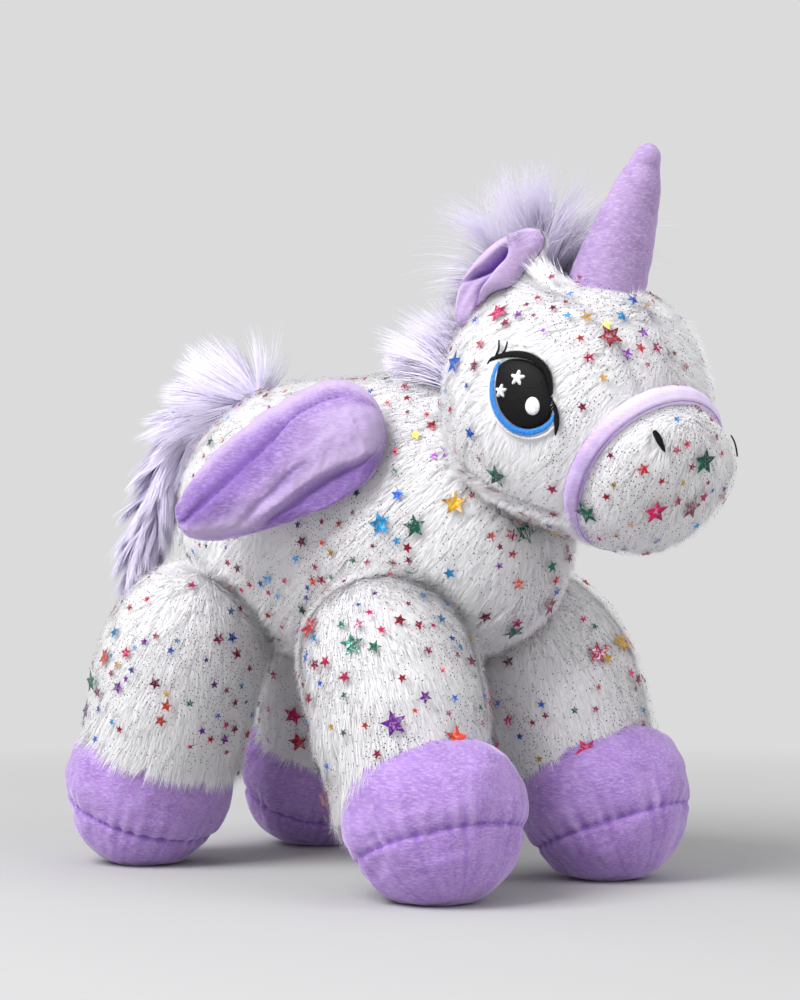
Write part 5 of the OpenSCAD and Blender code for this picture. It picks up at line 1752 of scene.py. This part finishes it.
# %% Foil trees
def foil_tree(name, dots):
    tree, start, end, node = new_tree(name, [
        ("Per mm2", "NodeSocketFloat", 0.004), ("Apart", "NodeSocketFloat", 0.006), ("Height", "NodeSocketFloat", 0.4),
        ("Tilt", "NodeSocketFloat", 0.3), ("Crumple", "NodeSocketFloat", 0.0004), ("Seed", "NodeSocketInt", 1),
        ("Material", "NodeSocketMaterial", None)])
    g = {s.name: s for s in start.outputs}
    here = node("GeometryNodeInputPosition").outputs[0]
    out, pile = named(node, "out", "FLOAT_VECTOR"), named(node, "pile")
    per_m2 = fmath(node, "MULTIPLY", g["Per mm2"], 1e6)
    drifts = node("ShaderNodeTexNoise", {"Scale": 26.0, "Detail": 2.0})
    tree.links.new(here, drifts.inputs["Vector"])
    thick = node("ShaderNodeMapRange", {0: drifts.outputs[0], 1: 0.43, 2: 0.60, 3: 0.22 if dots else 0.5, 4: 1.0})
    factor = fmath(node, "MULTIPLY", named(node, "cover"), thick.outputs[0])
    scatter = node("GeometryNodeDistributePointsOnFaces", {"Mesh": g["Geometry"], "Seed": g["Seed"],
                   "Distance Min": g["Apart"], "Density Max": per_m2}, distribute_method="POISSON")
    tree.links.new(factor, scatter.inputs["Density Factor"])
    lift = fmath(node, "MULTIPLY", pile, fmath(node, "ADD", g["Height"], ranged(node, -0.07, 0.05, 5)))
    up = vmath(node, "SCALE", out, scale=lift)
    raised = node("GeometryNodeSetPosition", {"Geometry": scatter.outputs[0], "Offset": up})
    hue = node("GeometryNodeStoreNamedAttribute", {"Geometry": raised.outputs[0], "Name": "hue",
               "Value": ranged(node, 0.0 if dots else 0.25, 0.3 if dots else 1.0, 6)}, data_type="FLOAT", domain="POINT")
    lean = vmath(node, "ADD", out, vmath(node, "SCALE", any_way(node, 7),
                                         scale=g["Tilt"]))
    turn = node("FunctionNodeAxesToRotation", {"Primary Axis": lean,
                "Secondary Axis": any_way(node, 8)}, primary_axis="Z",
                secondary_axis="X")
    if dots:
        shape = node("GeometryNodeMeshCircle", {"Vertices": 4, "Radius": 0.5}, fill_type="NGON").outputs[0]
        size = ranged(node, 0.00055, 0.00082, 9)
    else:
        ring = node("GeometryNodeMeshCircle", {"Vertices": 10, "Radius": 0.5}, fill_type="TRIANGLE_FAN")
        index = node("GeometryNodeInputIndex").outputs[0]
        odd = fmath(node, "MODULO", index, 2.0)
        centre = node("FunctionNodeCompare", {0: vmath(node, "LENGTH", here), 1: 0.1}, data_type="FLOAT",
                      operation="GREATER_THAN")
        inward = fmath(node, "SUBTRACT", 1.0, fmath(node, "MULTIPLY", odd, 0.56))
        star = node("GeometryNodeSetPosition", {"Geometry": ring.outputs[0], "Selection": centre.outputs[0],
                    "Position": vmath(node, "SCALE", here, scale=inward)})
        shape = node("GeometryNodeSubdivideMesh", {"Mesh": star.outputs[0], "Level": 1}).outputs[0]
        pick = ranged(node, 0.0, 1.0, 10)
        big = fmath(node, "MULTIPLY", fmath(node, "GREATER_THAN", pick, 0.93), 0.0058)
        middling = fmath(node, "MULTIPLY", fmath(node, "GREATER_THAN", pick, 0.70), 0.0022)
        size = fmath(node, "ADD", fmath(node, "ADD", big, middling), ranged(node, 0.0031, 0.0046, 9))
    copies = node("GeometryNodeInstanceOnPoints", {"Points": hue.outputs[0], "Instance": shape,
                  "Rotation": turn.outputs[0],
                  "Scale": node("ShaderNodeCombineXYZ", {0: size, 1: size, 2: size}).outputs[0]})
    real = node("GeometryNodeRealizeInstances", {"Geometry": copies.outputs[0]})
    crease = node("ShaderNodeTexNoise", {"Scale": 420.0, "Detail": 1.0})
    tree.links.new(here, crease.inputs["Vector"])
    bend = vmath(node, "SCALE", vmath(node, "SUBTRACT", crease.outputs["Color"], (0.5, 0.5, 0.5)),
                 scale=fmath(node, "MULTIPLY", g["Crumple"], 4.0))
    crumpled = node("GeometryNodeSetPosition", {"Geometry": real.outputs[0], "Offset": bend})
    dressed = node("GeometryNodeSetMaterial", {"Geometry": crumpled.outputs[0], "Material": g["Material"]})
    tree.links.new(dressed.outputs[0], end.inputs[0])
    return tree


carrier = joined("print_carrier", carriers)
stars = grown(carrier, foil_tree("foil_stars", False), {"Per mm2": 0.014, "Apart": 0.0050, "Height": 0.46, "Tilt": 0.14,
              "Crumple": 0.0001, "Seed": 23, "Material": foil}, "foil_stars")
dots = grown(carrier, foil_tree("foil_dots", True), {"Per mm2": 0.36, "Apart": 0.0010,
             "Height": 0.48, "Tilt": 0.3, "Crumple": 0.0, "Seed": 6, "Material": foil}, "glitter_dots")
bpy.data.objects.remove(carrier)
for piece in (stars, dots):
    finished(piece, "body")
    print(piece.name, "faces:", len(piece.data.polygons))

# %% [markdown]
# ## Studio
# A pale floor that runs into a pale background, one broad soft light from the upper left, a weaker one from the
# right and an even fill. The camera looks level at the toy's right side from its front quarter.

# %% Floor, lights and camera
BACKDROP = linear(219, 219, 220)


def flat_light(nt, colour, strength=1.0):
    e = nt.nodes.new("ShaderNodeEmission")
    e.inputs["Color"].default_value = colour
    e.inputs["Strength"].default_value = strength
    return e.outputs[0]


def seen_directly(nt):
    path = nt.nodes.new("ShaderNodeLightPath")
    a = math_node(nt, "MAXIMUM", path.outputs["Is Camera Ray"], path.outputs["Is Glossy Ray"])
    return math_node(nt, "MAXIMUM", a, path.outputs["Is Transmission Ray"])


def floor_material():
    m = bpy.data.materials.new("pale_floor")
    m.use_nodes = True
    nt = m.node_tree
    for n in list(nt.nodes):
        nt.nodes.remove(n)
    out = nt.nodes.new("ShaderNodeOutputMaterial")
    d = nt.nodes.new("ShaderNodeBsdfDiffuse")
    speck = noise(nt, object_coordinates(nt), 3.0, 2.0, 0.5)
    nt.links.new(mixed_colour(nt, remap(nt, speck, 0.3, 0.7), linear(FLOOR_TONE, FLOOR_TONE, FLOOR_TONE + 1),
                              linear(FLOOR_TONE + 2, FLOOR_TONE + 2, FLOOR_TONE + 3)), d.inputs[0])
    # Far from the toy the floor melts into the backdrop
    gap = nt.nodes.new("ShaderNodeVectorMath")
    gap.operation = "LENGTH"
    nt.links.new(object_coordinates(nt), gap.inputs[0])
    far = remap(nt, gap.outputs["Value"], 0.32, 0.85)
    mix = nt.nodes.new("ShaderNodeMixShader")
    nt.links.new(math_node(nt, "MULTIPLY", far, seen_directly(nt)), mix.inputs[0])
    nt.links.new(d.outputs[0], mix.inputs[1])
    nt.links.new(flat_light(nt, BACKDROP), mix.inputs[2])
    nt.links.new(mix.outputs[0], out.inputs[0])
    return m


FLOOR_TONE = 182
floor = new_piece("floor", [(-9000, -9000, 0), (9000, -9000, 0), (9000, 9000, 0), (-9000, 9000, 0)], [(0, 1, 2, 3)],
                  False, np.zeros(3))
floor.data.materials.append(floor_material())

world = bpy.data.worlds.new("studio")
bpy.context.scene.world = world
world.use_nodes = True
nt = world.node_tree
for n in list(nt.nodes):
    nt.nodes.remove(n)
out = nt.nodes.new("ShaderNodeOutputWorld")
fill = nt.nodes.new("ShaderNodeBackground")
fill.inputs[0].default_value = (1.0, 1.0, 1.0, 1.0)
fill.inputs[1].default_value = 0.67
seen = nt.nodes.new("ShaderNodeBackground")
seen.inputs[0].default_value = BACKDROP
seen.inputs[1].default_value = 1.0
mix = nt.nodes.new("ShaderNodeMixShader")
nt.links.new(seen_directly(nt), mix.inputs[0])
nt.links.new(fill.outputs[0], mix.inputs[1])
nt.links.new(seen.outputs[0], mix.inputs[2])
nt.links.new(mix.outputs[0], out.inputs[0])


def softbox(name, place, aim, size, watts):
    light = bpy.data.lights.new(name, "AREA")
    light.shape = "RECTANGLE"
    light.size, light.size_y = size
    light.energy = watts
    ob = bpy.data.objects.new(name, light)
    bpy.context.scene.collection.objects.link(ob)
    ob.location = place
    ob.rotation_mode = "QUATERNION"
    ob.rotation_quaternion = (Vector(aim) - Vector(place)).to_track_quat("-Z", "Y")
    return ob


softbox("key_light", (-1.35, 0.10, 1.45), (0, 0, 0.14), (1.1, 1.1), 42.5)
softbox("side_light", (0.35, -1.55, 0.95), (0, 0, 0.16), (1.0, 1.0), 7.0)

camera = bpy.data.cameras.new("camera")
camera.lens = 84.24
camera.sensor_width = 36.0
camera.shift_y = 0.076
eye = bpy.data.objects.new("camera", camera)
bpy.context.scene.collection.objects.link(eye)
AIM, DISTANCE = np.array([9.8, -10.0, 138.0]) + PLACE, 1100.0
back = np.array([math.sin(math.radians(-45)), -math.cos(math.radians(-45)), 0])
eye.location = Vector((AIM + back * DISTANCE) * 0.001)
eye.rotation_mode = "QUATERNION"
eye.rotation_quaternion = Vector(-back).to_track_quat("-Z", "Y")
camera.clip_start, camera.clip_end = 0.05, 50.0
bpy.context.scene.camera = eye
bpy.context.scene.view_settings.view_transform = "Standard"
print("camera at", [round(x, 4) for x in eye.location])

# %% Close the frame
for name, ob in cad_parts.items():
    if not ob.hide_render:
        print("still plain:", name)
